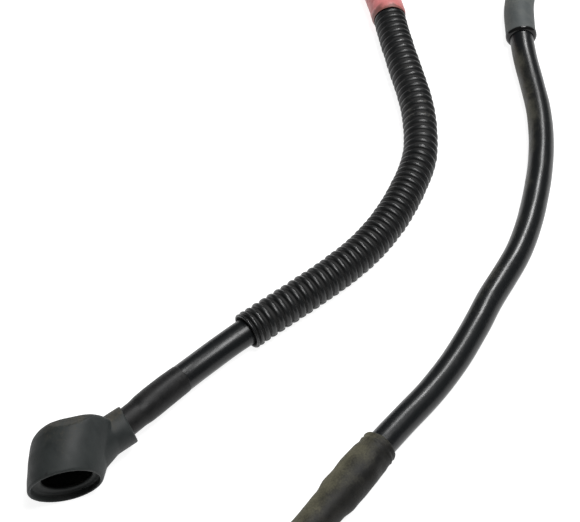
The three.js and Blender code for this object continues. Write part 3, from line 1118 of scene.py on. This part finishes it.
    def _shift(
        self, t: NodeTree, size: dict[str, Socket], grid: LoomGrid, tilt: Socket, from_end: Socket
    ) -> Socket:
        """How far an outer corner sits off its length, by its rib's lean and the slit's slip.

        Args:
            t: the tree being built.
            size: its named inputs.
            grid: the grid of corners.
            tilt: how its rib leans there, from about -1 to 1.
            from_end: how far the nearer end is, in metres.

        Returns:
            The shift in metres.
        """
        away = t.step(from_end, 0.0, self.still_reach)
        lean = t.math("MULTIPLY", t.math("MULTIPLY", tilt, size["rib_lean"]), away)
        slip = t.step(grid.from_slit, 0.0, self.slip_reach, size["slit_slip"], 0.0)
        slipped = t.math("MULTIPLY", slip, t.math("MULTIPLY", grid.first_side, away))
        return t.math("MULTIPLY", t.math("ADD", lean, slipped), t.math("SUBTRACT", 1.0, grid.inner))

    def _place(self, t: NodeTree, length: Socket, across: Socket, above: Socket) -> Socket:
        """The place of each corner beside the route.

        Args:
            t: the tree being built.
            length: length along the route.
            across: offset to the left of travel.
            above: offset upwards.

        Returns:
            The places.
        """
        feeds = {"Curves": t.inputs.outputs[0], "Length": length}
        sample = t.node("GeometryNodeSampleCurve", feeds, mode="LENGTH")
        tangent = sample.outputs["Tangent"]
        side = t.vector("NORMALIZE", t.vector("CROSS_PRODUCT", (0.0, 0.0, 1.0), tangent))
        up = t.vector("CROSS_PRODUCT", tangent, side)
        offset = t.vector("ADD", t.vector("SCALE", side, scale=across), t.vector("SCALE", up, scale=above))
        return t.vector("ADD", sample.outputs["Position"], offset)

    def _tree(self, finish: bpy.types.Material) -> NodeTree:
        """Builds the tree: the grid wrapped round the route.

        Args:
            finish: the material that the tree sets.

        Returns:
            The tree with its inputs' values.
        """
        t = NodeTree("ribbed_tube")
        size = self._sizes(t)
        material = t.size("Material", finish)
        grid = self._grid(t, size)
        total = t.math("SUBTRACT", size["end"], size["start"])
        along = t.math("MULTIPLY_ADD", self._spacing(t, grid.share), total, size["start"])
        end_share = t.math("MINIMUM", grid.share, t.math("SUBTRACT", 1.0, grid.share))
        from_end = t.math("MULTIPLY", end_share, total)

        rib, height, rounded = self._ribs(t, size, grid.share)
        random = [t.random(rib, size["seed"], extra) for extra in range(3)]
        jitter = t.math("MULTIPLY", random[0], t.math("MULTIPLY", size["unevenness"], height))
        skin = t.math("ADD", self._skin(t, size, height, rounded), jitter)
        flare = t.step(from_end, 0.0, self.mouth_reach, size["mouth_flare"], 0.0)
        bore = t.math("ADD", size["bore_radius"], flare)
        radius = t.choose(grid.inner, self._slit(t, size, grid, skin), bore)

        angle = self._angle(t, size, grid.around)
        cosine, sine = t.math("COSINE", angle), t.math("SINE", angle)
        across, above = t.math("MULTIPLY", radius, cosine), t.math("MULTIPLY", radius, sine)
        tilt = t.math("ADD", t.math("MULTIPLY", random[1], cosine), t.math("MULTIPLY", random[2], sine))
        length = t.math("ADD", along, self._shift(t, size, grid, tilt, from_end))

        straight = t.node("ShaderNodeCombineXYZ", {0: across, 1: above, 2: along}).outputs[0]
        # the rib's height, kept for the loom's material, which darkens the grooves with it as painted shade
        crown = t.math("MULTIPLY", height, t.math("SUBTRACT", 1.0, grid.inner))
        marked = t.keep(grid.mesh, "straight", straight, "FLOAT_VECTOR")
        marked = t.keep(marked, "crown", crown, "FLOAT")
        place = self._place(t, length, across, above)
        moved = t.node("GeometryNodeSetPosition", {"Geometry": marked, "Position": place})
        feeds = {"Geometry": moved.outputs[0], "Distance": self.merge_distance}
        merged = t.node("GeometryNodeMergeByDistance", feeds)
        feeds = {"Geometry": merged.outputs[0], "Shade Smooth": True}
        smooth = t.node("GeometryNodeSetShadeSmooth", feeds)
        real = t.node("GeometryNodeRealizeInstances", {"Geometry": smooth.outputs[0]})
        dressed = t.node("GeometryNodeSetMaterial", {"Geometry": real.outputs[0], "Material": material})
        t.finish(dressed.outputs[0])
        return t


@dataclass
class Sleeve:
    """A shrink tube on the cable, from its outer corners and its bore."""

    name: str
    corners: Stations
    bore: Stations
    sides: int = 64
    step: float = 0.0012
    unevenness: float = 0.00012
    swell_length: float = 0.03
    edge_raggedness: float = 0.0
    edge_reach: float = 0.008
    rib_print: float = 0.0
    rib_pitch: float = 0.0063
    rib_offset: float = 0.0
    rib_fade: float = 0.012
    least_print: float = 0.25
    seed: int = 1

    def build(self, route: Route, finish: bpy.types.Material) -> bpy.types.Object:
        """Builds and dresses the sleeve.

        Args:
            route: the cable's centre line.
            finish: the sleeve's material.

        Returns:
            The sleeve.
        """
        outside = eased_profile(self.corners, self.step)
        inside = eased_profile(tuple(reversed(self.bore)), self.step * 2)
        sleeve = bent_tube(self.name, route, [*outside, *inside], self.sides, self._swell, self._slide)
        sleeve.data.materials.append(finish)
        return sleeve

    def _swell(self, s: np.ndarray, angle: np.ndarray) -> np.ndarray:
        """Unevenness of the skin, and the ribs that print through it near its first edge.

        Args:
            s: lengths along the cable, in metres.
            angle: angles round the cable, in radians.

        Returns:
            What each corner's radius gains, with nothing on the bore.
        """
        rows = np.arange(s.shape[0])[:, None]
        outside = rows < len(eased_profile(self.corners, self.step))
        swell = self.unevenness * waves(s, angle, self.seed, self.swell_length)
        if self.rib_print:
            fade = np.clip(1.0 - (s - self.corners[0][0]) / self.rib_fade, 0.0, 1.0)
            rib = np.cos(2 * math.pi * (s - self.rib_offset) / self.rib_pitch)
            swell = swell + self.rib_print * rib * (self.least_print + (1.0 - self.least_print) * fade)
        return np.where(outside, swell, 0.0)

    def _slide(self, s: np.ndarray, angle: np.ndarray) -> np.ndarray:
        """A ragged first edge: lengths near it move to and fro round the tube."""
        fade = np.clip(1.0 - (s - self.corners[0][0]) / self.edge_reach, 0.0, 1.0)
        return self.edge_raggedness * waves(0 * s, angle, self.seed + 40, 1.0, 5) * fade


@dataclass
class Sleeves:
    """The four shrink sleeves, by where they sit on the cable."""

    route: Route
    loom: SplitLoom
    red_lap: float = 0.034
    red_past_loom: float = 0.0345
    grey_start: float = 0.877
    grey_end: float = 0.973
    lug_sleeve_length: float = 0.0775
    over_lug_barrel: float = 0.022

    def barrel(self) -> Sleeve:
        """Thin tube from the boot lug's barrel onto the cable."""
        corners = (
            (-0.024, 0.0086), (-0.0235, 0.0088), (-0.006, 0.0088), (0.001, 0.0094), (0.008, 0.00955),
            (0.022, 0.00955), (0.028, 0.00935), (0.0325, 0.0092), (0.033, 0.0091),
        )
        bore = ((-0.024, 0.0083), (-0.006, 0.0083), (-0.0003, 0.00906), (0.033, 0.00906))
        return Sleeve("barrel_shrink", corners, bore, unevenness=0.00006, seed=11)

    def red(self) -> Sleeve:
        """Tube over the loom's last ribs, drawn down onto the cable."""
        loom = self.loom.end
        edge, end = loom - self.red_lap, loom + self.red_past_loom
        corners = (
            (edge, 0.01268), (edge + 0.0012, 0.0130), (edge + 0.006, 0.0133), (loom - 0.004, 0.0133),
            (loom + 0.002, 0.0129), (loom + 0.014, 0.0101), (loom + 0.033, 0.0099), (end, 0.0094),
        )
        bore = (
            (edge, 0.01252), (edge + 0.003, 0.0126), (loom + 0.0005, 0.0126), (loom + 0.0125, 0.0093),
            (end, 0.00915),
        )
        return Sleeve(
            "red_shrink_tube", corners, bore, edge_raggedness=0.00055, rib_print=0.00026,
            rib_offset=self.loom.crests[-1][1], seed=21,
        )

    def grey(self) -> Sleeve:
        """Thick tube with a bead of adhesive at the mouth that shows."""
        corners = (
            (self.grey_start, 0.0104), (0.8777, 0.0115), (0.887, 0.0116), (0.932, 0.0115), (0.957, 0.0116),
            (0.9665, 0.01155), (0.9692, 0.0118), (0.9706, 0.0118), (0.9716, 0.0114), (0.9724, 0.0105),
            (self.grey_end, 0.0093),
        )
        bore = ((self.grey_start, 0.00915), (self.grey_end, 0.0091))
        return Sleeve("grey_shrink_tube", corners, bore, step=0.0008, seed=31)

    def lug(self) -> Sleeve:
        """Thick tube with a double end ring, drawn down over the far lug's barrel."""
        end = self.route.length
        last = end + self.over_lug_barrel
        start = last - self.lug_sleeve_length
        corners = (
            (start, 0.0104), (start + 0.0006, 0.0112), (start + 0.0018, 0.0116), (start + 0.0030, 0.0111),
            (start + 0.0040, 0.0111), (start + 0.0053, 0.0118), (start + 0.0068, 0.0114),
            (start + 0.0082, 0.0114), (start + 0.0125, 0.0119), (start + 0.022, 0.0125),
            (start + 0.034, 0.0123), (end - 0.014, 0.0122), (end - 0.004, 0.0109), (end + 0.006, 0.0106),
            (last - 0.0006, 0.0105), (last, 0.0099),
        )
        bore = ((start, 0.00915), (end + 0.0003, 0.00915), (end + 0.006, 0.0083), (last, 0.0083))
        return Sleeve(
            "lug_shrink_tube", corners, bore, step=0.0009, unevenness=0.0002,
            swell_length=0.018, seed=41,
        )


@dataclass
class RingLug:
    """A ring lug: round barrel, flattened into a palm with a rounded tip and a stud hole."""

    name: str
    barrel_radius: float = 0.008
    gap: float = 0.0003
    barrel_length: float = 0.034
    flare_length: float = 0.008
    palm_width: float = 0.025
    palm_thickness: float = 0.0046
    palm_reach: float = 0.013
    hole_diameter: float = 0.013
    around: int = 56
    edge_round: float = 0.00045
    chamfer: float = 0.0004
    blend: float = 0.004
    palm_square: float = 6.0

    def _stations(self, hole_at: float) -> list[float]:
        """Lengths along the lug where it has a ring of corners.

        Args:
            hole_at: how far along the stud hole is.

        Returns:
            The lengths, from the cable's end outwards.
        """
        root = self.barrel_length + self.flare_length
        barrel = np.linspace(self.blend, self.barrel_length, 6)
        flare = np.linspace(self.barrel_length, root, 14)[1:]
        turns = np.linspace(0.0, math.pi / 2 - 0.02, 26)
        tip = [hole_at + self.palm_width / 2 * math.sin(turn) for turn in turns]
        return [self.gap, self.gap + self.chamfer, *barrel, *flare, root + self.blend, *tip]

    def _section(self, x: float, hole_at: float, drop: float) -> np.ndarray:
        """One ring of corners: round on the barrel, and flat with rounded edges on the palm.

        Args:
            x: how far along the lug it is.
            hole_at: how far along the stud hole is.
            drop: how far the palm's middle is from the barrel's axis.

        Returns:
            The corners' places in the lug's own frame.
        """
        half = self.palm_width / 2
        share = min(max((x - self.barrel_length) / self.flare_length, 0.0), 1.0)
        share = share * share * (3 - 2 * share)
        wide = self.barrel_radius + (half - self.barrel_radius) * share
        thick = self.barrel_radius + (self.palm_thickness / 2 - self.barrel_radius) * share
        if x > hole_at:
            wide = math.sqrt(max(half ** 2 - (x - hole_at) ** 2, 1e-10))
        if x == self.gap:
            wide, thick = wide - self.chamfer, thick - self.chamfer
        angle = np.linspace(0.0, 2 * math.pi, self.around, endpoint=False)
        cosine, sine = np.cos(angle), np.sin(angle)
        power = 2.0 / (2.0 + self.palm_square * share)
        y = wide * np.sign(cosine) * np.abs(cosine) ** power
        z = thick * np.sign(sine) * np.abs(sine) ** power + drop * share
        return np.stack([np.full_like(y, x), y, z], axis=1)

    def build(self, place: Matrix, finish: bpy.types.Material) -> bpy.types.Object:
        """Builds and dresses the lug.

        Args:
            place: its frame, with x out along the cable's end and z square to the palm.
            finish: its material.

        Returns:
            The lug.
        """
        hole_at = self.barrel_length + self.flare_length + self.palm_reach
        drop = -(self.barrel_radius - self.palm_thickness / 2)
        rows = [self._section(x, hole_at, drop) for x in self._stations(hole_at)]
        lug = mesh_object(self.name, np.vstack(rows), ring_faces(len(rows), self.around, wrap=False))
        face_outwards(lug)
        radius, reach = self.hole_diameter / 2, self.palm_thickness * 2
        hole_place = Matrix.Translation((hole_at, 0.0, drop))
        cut(lug, turned_object("stud_hole", [(radius, -reach), (radius, reach)], 48, hole_place))
        soften_edges(lug, self.edge_round)
        lug.data.transform(place)
        lug.data.materials.append(finish)
        return lug


def turned_object(name: str, profile: Stations, sides: int, place: Matrix) -> bpy.types.Object:
    """A solid of revolution about its own z axis.

    Args:
        name: the object's name.
        profile: radius and height pairs, from the bottom up; both ends are capped.
        sides: faces round it.
        place: where it goes; it may lean.

    Returns:
        The closed solid.
    """
    angle = np.linspace(0.0, 2 * math.pi, sides, endpoint=False)
    x, y = np.cos(angle), np.sin(angle)
    rows = [np.stack([r * x, r * y, np.full_like(angle, z)], axis=1) for r, z in profile]
    obj = mesh_object(name, np.vstack(rows), ring_faces(len(rows), sides, wrap=False))
    obj.data.transform(place)
    face_outwards(obj)
    return obj


def apply_modifier(obj: bpy.types.Object, kind: str, **settings: object) -> None:
    """Adds one modifier, keeps its result as the object's mesh and removes it.

    Args:
        obj: the object whose mesh changes.
        kind: the modifier's type.
        settings: its properties.
    """
    modifier = obj.modifiers.new(kind.lower(), kind)
    for key, value in settings.items():
        setattr(modifier, key, value)
    bpy.context.view_layer.update()
    evaluated = obj.evaluated_get(bpy.context.evaluated_depsgraph_get())
    mesh = bpy.data.meshes.new_from_object(evaluated)
    obj.modifiers.remove(modifier)
    obj.data = mesh


def cut(obj: bpy.types.Object, tool: bpy.types.Object) -> None:
    """Takes the tool's solid out of the object, and deletes the tool."""
    apply_modifier(obj, "BOOLEAN", operation="DIFFERENCE", solver="EXACT", object=tool)
    bpy.data.objects.remove(tool)


def shade_smooth(mesh: bpy.types.Mesh) -> None:
    """Shades all faces smooth."""
    mesh.polygons.foreach_set("use_smooth", [True] * len(mesh.polygons))


def soften_edges(obj: bpy.types.Object, width: float, sharp: float = math.radians(38.0)) -> None:
    """Rounds the edges that turn by more than the sharp angle, by a small bevel."""
    apply_modifier(obj, "BEVEL", width=width, segments=2, limit_method="ANGLE", angle_limit=sharp)
    shade_smooth(obj.data)


def trim(obj: bpy.types.Object, point: Vector, normal: Vector) -> None:
    """Cuts off what lies past a plane, and closes the cut.

    Args:
        obj: the object whose mesh changes.
        point: a point on the plane.
        normal: the plane's normal, towards what is cut off.
    """
    work = bmesh.new()
    work.from_mesh(obj.data)
    parts = [*work.verts, *work.edges, *work.faces]
    made = bmesh.ops.bisect_plane(work, geom=parts, plane_co=point, plane_no=normal, clear_outer=True)
    rim = [part for part in made["geom_cut"] if isinstance(part, bmesh.types.BMEdge)]
    bmesh.ops.holes_fill(work, edges=rim, sides=0)
    work.to_mesh(obj.data)
    work.free()


@dataclass
class TerminalBoot:
    """Rubber cover: a cup that leans back from its mouth, ledged inside, and a neck round the cable."""

    route: Route
    outside: Stations = (
        (0.0185, 0.0345), (0.0225, 0.0330), (0.0242, 0.0305), (0.0247, 0.0270), (0.0245, 0.0180),
        (0.0238, 0.0120), (0.0233, 0.0060), (0.0228, 0.0035), (0.0226, 0.0022), (0.0224, 0.0008),
        (0.0217, 0.0),
    )
    inside: Stations = (
        (0.0020, 0.0320), (0.0155, 0.0318), (0.0190, 0.0300), (0.0204, 0.0285), (0.0214, 0.0230),
        (0.0212, 0.0120), (0.0208, 0.0085), (0.0155, 0.0070), (0.0150, 0.0062), (0.0150, 0.0053),
        (0.0160, 0.0045), (0.0196, 0.0042), (0.0200, 0.0036), (0.0202, 0.0006), (0.0208, -0.0002),
        (0.0208, -0.0140),
    )
    lean: float = 0.32
    flat_at: float = 0.0359
    wall: float = 0.0024
    neck_radius: float = 0.012
    neck_back: float = 0.030
    shoulder_radius: float = 0.0152
    shoulder_at: float = 0.024
    shoulder_end: float = 0.012
    neck_front: float = 0.0046
    bore_radius: float = 0.0092
    bore_reach: float = 0.045
    bore_past: float = 0.004
    mouth_centre_mm: Triple = (-130.0, -173.6, 22.3)
    mouth_normal: Triple = (0.259, -0.958, -0.122)
    mouth_across: Triple = (0.9653, 0.261, 0.0)
    flat_normal: Triple = (-0.12, 0.52, 0.846)
    neck_point_mm: Triple = (-100.2, -132.4, 19.6)
    neck_axis: Triple = (0.7126, 0.6831, -0.16)
    neck_end_normal: Triple = (0.867, 0.475, 0.151)
    # reach of the painted shade inside the cup's mouth
    mark_radius: float = 0.0216
    mark_depth: float = 0.0318
    mark_fade: float = 0.001
    mark_side_fade: float = 0.0009
    voxel: float = 0.0005
    blend_coarseness: float = 1.2
    blend_rounds: int = 7
    skin_rounds: int = 3
    sides: int = 96

    def lug_place(self) -> Matrix:
        """The boot lug's frame: x out of the cable, z towards the boot's mouth."""
        centre, tangent, _, _ = self.route.frames(np.array([0.0]))
        return end_frame(Vector(centre[0]), -Vector(tangent[0]), Vector(self.mouth_normal).normalized())

    def cup_place(self) -> Matrix:
        """The cup's frame: z out of its mouth, x level across it, leaning towards its back."""
        normal = Vector(self.mouth_normal).normalized()
        across = Vector(self.mouth_across).normalized()
        frame = Matrix((across, normal.cross(across).normalized(), normal)).transposed().to_4x4()
        frame.translation = from_route_mm(self.mouth_centre_mm)
        lean = Matrix.Identity(4)
        lean[0][2] = -self.lean
        return frame @ lean

    def _cup_solid(self, name: str, profile: Stations, flat_at: float) -> bpy.types.Object:
        """One turned solid of the cup, with the flat on its shoulder.

        Args:
            name: the object's name.
            profile: radius and depth pairs, from the back to the mouth.
            flat_at: how far the flat is from the mouth's middle.

        Returns:
            The closed solid.
        """
        upwards = [(radius, -depth) for radius, depth in profile]
        solid = turned_object(name, upwards, self.sides, self.cup_place())
        normal = Vector(self.flat_normal).normalized()
        trim(solid, from_route_mm(self.mouth_centre_mm) + normal * flat_at, normal)
        return solid

    def _neck_solid(self) -> bpy.types.Object:
        """The straight neck, with its slanted end."""
        axis = Vector(self.neck_axis).normalized()
        place = axis.to_track_quat("Z", "Y").to_matrix().to_4x4()
        place.translation = from_route_mm(self.neck_point_mm)
        radius = self.neck_radius
        profile = [
            (radius, -self.neck_back), (self.shoulder_radius, -self.shoulder_at),
            (radius, -self.shoulder_end), (radius, radius),
        ]
        neck = turned_object("boot_neck", profile, self.sides, place)
        end = from_route_mm(self.neck_point_mm) + axis * self.neck_front
        trim(neck, end, Vector(self.neck_end_normal).normalized())
        return neck

    def _bore_solid(self) -> bpy.types.Object:
        """The hole that the lug's barrel passes through."""
        centre, tangent, _, _ = self.route.frames(np.array([0.0]))
        place = Vector(tangent[0]).to_track_quat("Z", "Y").to_matrix().to_4x4()
        place.translation = Vector(centre[0])
        profile = [(self.bore_radius, -self.bore_reach), (self.bore_radius, self.bore_past)]
        return turned_object("boot_bore", profile, self.sides, place)

    def _mark_inside_shade(self, boot: bpy.types.Object) -> None:
        """Keeps, as an attribute, how far inside the cup's mouth each corner of the mesh is; the rubber's
        material darkens these corners as painted shade.

        Args:
            boot: the finished boot.
        """
        mesh = boot.data
        places = np.empty(len(mesh.vertices) * 3, dtype=np.float32)
        mesh.vertices.foreach_get("co", places)
        to_cup = np.array(self.cup_place().inverted())
        local = places.reshape(-1, 3) @ to_cup[:3, :3].T + to_cup[:3, 3]
        radius, depth = np.hypot(local[:, 0], local[:, 1]), -local[:, 2]
        shares = np.clip((self.mark_radius - radius) / self.mark_side_fade, 0.0, 1.0)
        shares *= np.clip(depth / self.mark_fade, 0.0, 1.0)
        shares *= np.clip((self.mark_depth - depth) / self.mark_fade, 0.0, 1.0)
        layer = mesh.attributes.new("inside", "FLOAT", "POINT")
        layer.data.foreach_set("value", shares.astype(np.float32))

    @staticmethod
    def _blend(boot: bpy.types.Object, voxel: float, rounds: int) -> None:
        """Remeshes the boot evenly and rounds off its corners.

        Args:
            boot: the boot.
            voxel: the size of the new faces, in metres.
            rounds: how often the corners are smoothed.
        """
        apply_modifier(boot, "REMESH", mode="VOXEL", voxel_size=voxel, adaptivity=0.0)
        apply_modifier(boot, "SMOOTH", factor=0.5, iterations=rounds)

    def build(self, finish: bpy.types.Material) -> bpy.types.Object:
        """Builds and dresses the boot.

        Args:
            finish: the boot's rubber.

        Returns:
            The boot.
        """
        boot = self._cup_solid("rubber_boot", self.outside, self.flat_at)
        neck = self._neck_solid()
        apply_modifier(boot, "BOOLEAN", operation="UNION", solver="EXACT", object=neck)
        bpy.data.objects.remove(neck)
        self._blend(boot, self.voxel * self.blend_coarseness, self.blend_rounds)
        cut(boot, self._cup_solid("boot_cavity", self.inside, self.flat_at - self.wall))
        cut(boot, self._bore_solid())
        self._blend(boot, self.voxel, self.skin_rounds)
        shade_smooth(boot.data)
        self._mark_inside_shade(boot)
        boot.data.materials.clear()
        boot.data.materials.append(finish)
        face_outwards(boot)
        return boot


def end_frame(origin: Vector, out: Vector, normal: Vector) -> Matrix:
    """A frame at one end of the cable.

    Args:
        origin: the end of the cable.
        out: the way straight on out of it, the frame's x axis.
        normal: roughly the frame's z axis.

    Returns:
        The frame.
    """
    z = (normal - out * normal.dot(out)).normalized()
    frame = Matrix((out, z.cross(out).normalized(), z)).transposed().to_4x4()
    frame.translation = origin
    return frame


@dataclass
class Studio:
    """Camera, pale floor and soft light."""

    floor_size: float = 6.0
    floor_color: Triple = (0.3, 0.3, 0.3)
    floor_roughness: float = 0.9
    floor_glow: float = 0.9
    world_strength: float = 0.08
    softbox_place: Triple = (0.35, -0.2, 1.6)
    softbox_size: float = 0.7
    softbox_power: float = 27.0
    back_place: Triple = (0.5, 1.15, 1.6)
    back_size: float = 0.24
    back_power: float = 24.0

    def camera(self) -> None:
        """Sets the camera at the photo's viewing angle."""
        target = from_route_mm((0.0, 0.0, LOOK_HEIGHT))
        forward = Vector((0.0, math.cos(VIEW_TILT), -math.sin(VIEW_TILT)))
        data = bpy.data.cameras.new("camera")
        data.sensor_width = SENSOR_MM
        data.lens = FOCAL_PX * SENSOR_MM / PHOTO_WIDTH
        data.clip_start, data.clip_end = 0.01, 50.0
        camera = bpy.data.objects.new("camera", data)
        camera.location = target - forward * VIEW_DISTANCE
        camera.rotation_euler = (math.pi / 2 - VIEW_TILT, 0.0, 0.0)
        bpy.context.scene.collection.objects.link(camera)
        bpy.context.scene.camera = camera

    def floor(self) -> None:
        """Adds the floor."""
        half = self.floor_size / 2
        corners = np.array([(-half, -half, 0.0), (half, -half, 0.0), (half, half, 0.0), (-half, half, 0.0)])
        floor = mesh_object("floor", corners, [(0, 1, 2, 3)])
        g = Graph("pale_floor")
        g.set(Base_Color=self.floor_color, Roughness=self.floor_roughness)
        g.set(Emission_Color=(1.0, 1.0, 1.0), Emission_Strength=self.floor_glow)
        floor.data.materials.append(g.material)

    def light(self) -> None:
        """Adds the world and the soft lamps."""
        world = bpy.data.worlds.new("studio")
        world.use_nodes = True
        background = world.node_tree.nodes["Background"]
        background.inputs["Color"].default_value = (1.0, 1.0, 1.0, 1.0)
        background.inputs["Strength"].default_value = self.world_strength
        bpy.context.scene.world = world
        self._lamp("softbox", self.softbox_place, self.softbox_size, self.softbox_power)
        self._lamp("back", self.back_place, self.back_size, self.back_power)

    def _lamp(self, name: str, place: Triple, size: float, power: float) -> None:
        """Adds one square lamp that looks at the origin."""
        data = bpy.data.lights.new(name, "AREA")
        data.size = size
        data.energy = power
        lamp = bpy.data.objects.new(name, data)
        lamp.location = place
        lamp.rotation_euler = (-Vector(place)).to_track_quat("-Z", "Y").to_euler()
        bpy.context.scene.collection.objects.link(lamp)


@dataclass(frozen=True)
class Place:
    """Which solid a piece stands for, and a record slot's name."""

    nodes: tuple[str, ...]
    slot: str


class BatteryCable:
    """The whole part, built sub-assembly by sub-assembly."""

    def __init__(self) -> None:
        """Reads the route and starts the list of pieces."""
        self.route = Route(ROUTE_MM)
        self.pieces: list[bpy.types.Object] = []

    def seat(self, piece: bpy.types.Object, place: Place) -> bpy.types.Object:
        """Rides a piece on the part and names what it stands for.

        Args:
            piece: the finished piece.
            place: its solid and slot.

        Returns:
            The piece.
        """
        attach(piece, "root")
        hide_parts(*place.nodes)
        self.pieces.append(piece)
        log.info("%s: %d faces, for %s", piece.name, len(piece.data.polygons), ", ".join(place.nodes))
        return piece

    def build(self) -> None:
        """Builds every piece."""
        cable = Cable(self.route)
        jacket = self.seat(cable.build(JacketFinish().build()), Place(("cable",), "cable_jacket"))
        loom = SplitLoom(self.route)
        self.seat(loom.build(LoomFinish().build()), Place(("split_loom",), "loom_plastic"))
        self._sleeves(loom)
        boot = TerminalBoot(self.route)
        self.seat(boot.build(BootFinish().build()), Place(("terminal_boot",), "boot_rubber"))
        centre, tangent, _, _ = self.route.frames(np.array([self.route.length]))
        far_place = end_frame(Vector(centre[0]), Vector(tangent[0]), Vector((0.0, 0.0, 1.0)))
        tinned = LugFinish().build()
        for name, place, node in (
            ("boot_ring_lug", boot.lug_place(), "boot_lug"),
            ("far_ring_lug", far_place, "far_lug"),
        ):
            self.seat(RingLug(name).build(place, tinned), Place((node,), "tinned_metal"))

    def _sleeves(self, loom: SplitLoom) -> None:
        """Builds and dresses the four shrink sleeves.

        Args:
            loom: the loom that the red sleeve covers.
        """
        shapes = Sleeves(self.route, loom)
        black = SleeveFinish(
            Skin.BLACK, base=(0.006, 0.0062, 0.0064), second=(0.01, 0.01, 0.01), roughness=0.42,
            dust=Dust(color=(0.06, 0.055, 0.042), toward=(-0.5, 0.3, 0.6), cover=-0.3), specular=0.18,
        )
        red = SleeveFinish(
            Skin.RED, base=(0.52, 0.17, 0.17), second=(0.4, 0.125, 0.12), roughness=0.42,
            dust=Dust(color=(0.22, 0.12, 0.1), toward=(-0.8, -0.3, 0.1), cover=-0.14),
            edge=(0.431, 0.4365, (0.1, 0.05, 0.04)),
        )
        grey = SleeveFinish(
            Skin.GREY, base=(0.05, 0.057, 0.058), second=(0.072, 0.078, 0.076), roughness=0.6,
            dust=Dust(color=(0.16, 0.155, 0.125), toward=(-0.7, 0.2, 0.5), cover=0.0),
            mouth=(0.9703, 0.9713),
        )
        khaki = Dust(
            color=(0.17, 0.16, 0.105), toward=(-0.8, 0.5, 0.25), cover=0.16, patch_scale=70.0,
            facing=0.6, strength=0.62, softness=1.1,
        )
        dusty = SleeveFinish(
            Skin.DUSTY, base=(0.008, 0.008, 0.0075), second=(0.015, 0.0145, 0.0125), roughness=0.5,
            dust=khaki, relief=0.0002, specular=0.16,
        )
        for shape, finish, node in (
            (shapes.barrel(), black, "barrel_sleeve"),
            (shapes.red(), red, "red_sleeve"),
            (shapes.grey(), grey, "grey_sleeve"),
            (shapes.lug(), dusty, "lug_sleeve"),
        ):
            self.seat(shape.build(self.route, finish.build()), Place((node,), finish.skin.value))


def main() -> None:
    """Loads the frame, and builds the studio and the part."""
    logging.basicConfig(level=logging.INFO, format="%(name)s: %(message)s")
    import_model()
    studio = Studio()
    studio.camera()
    BatteryCable().build()
    studio.floor()
    studio.light()
    bpy.context.scene.view_settings.view_transform = "Standard"


if __name__ == "__main__":
    main()
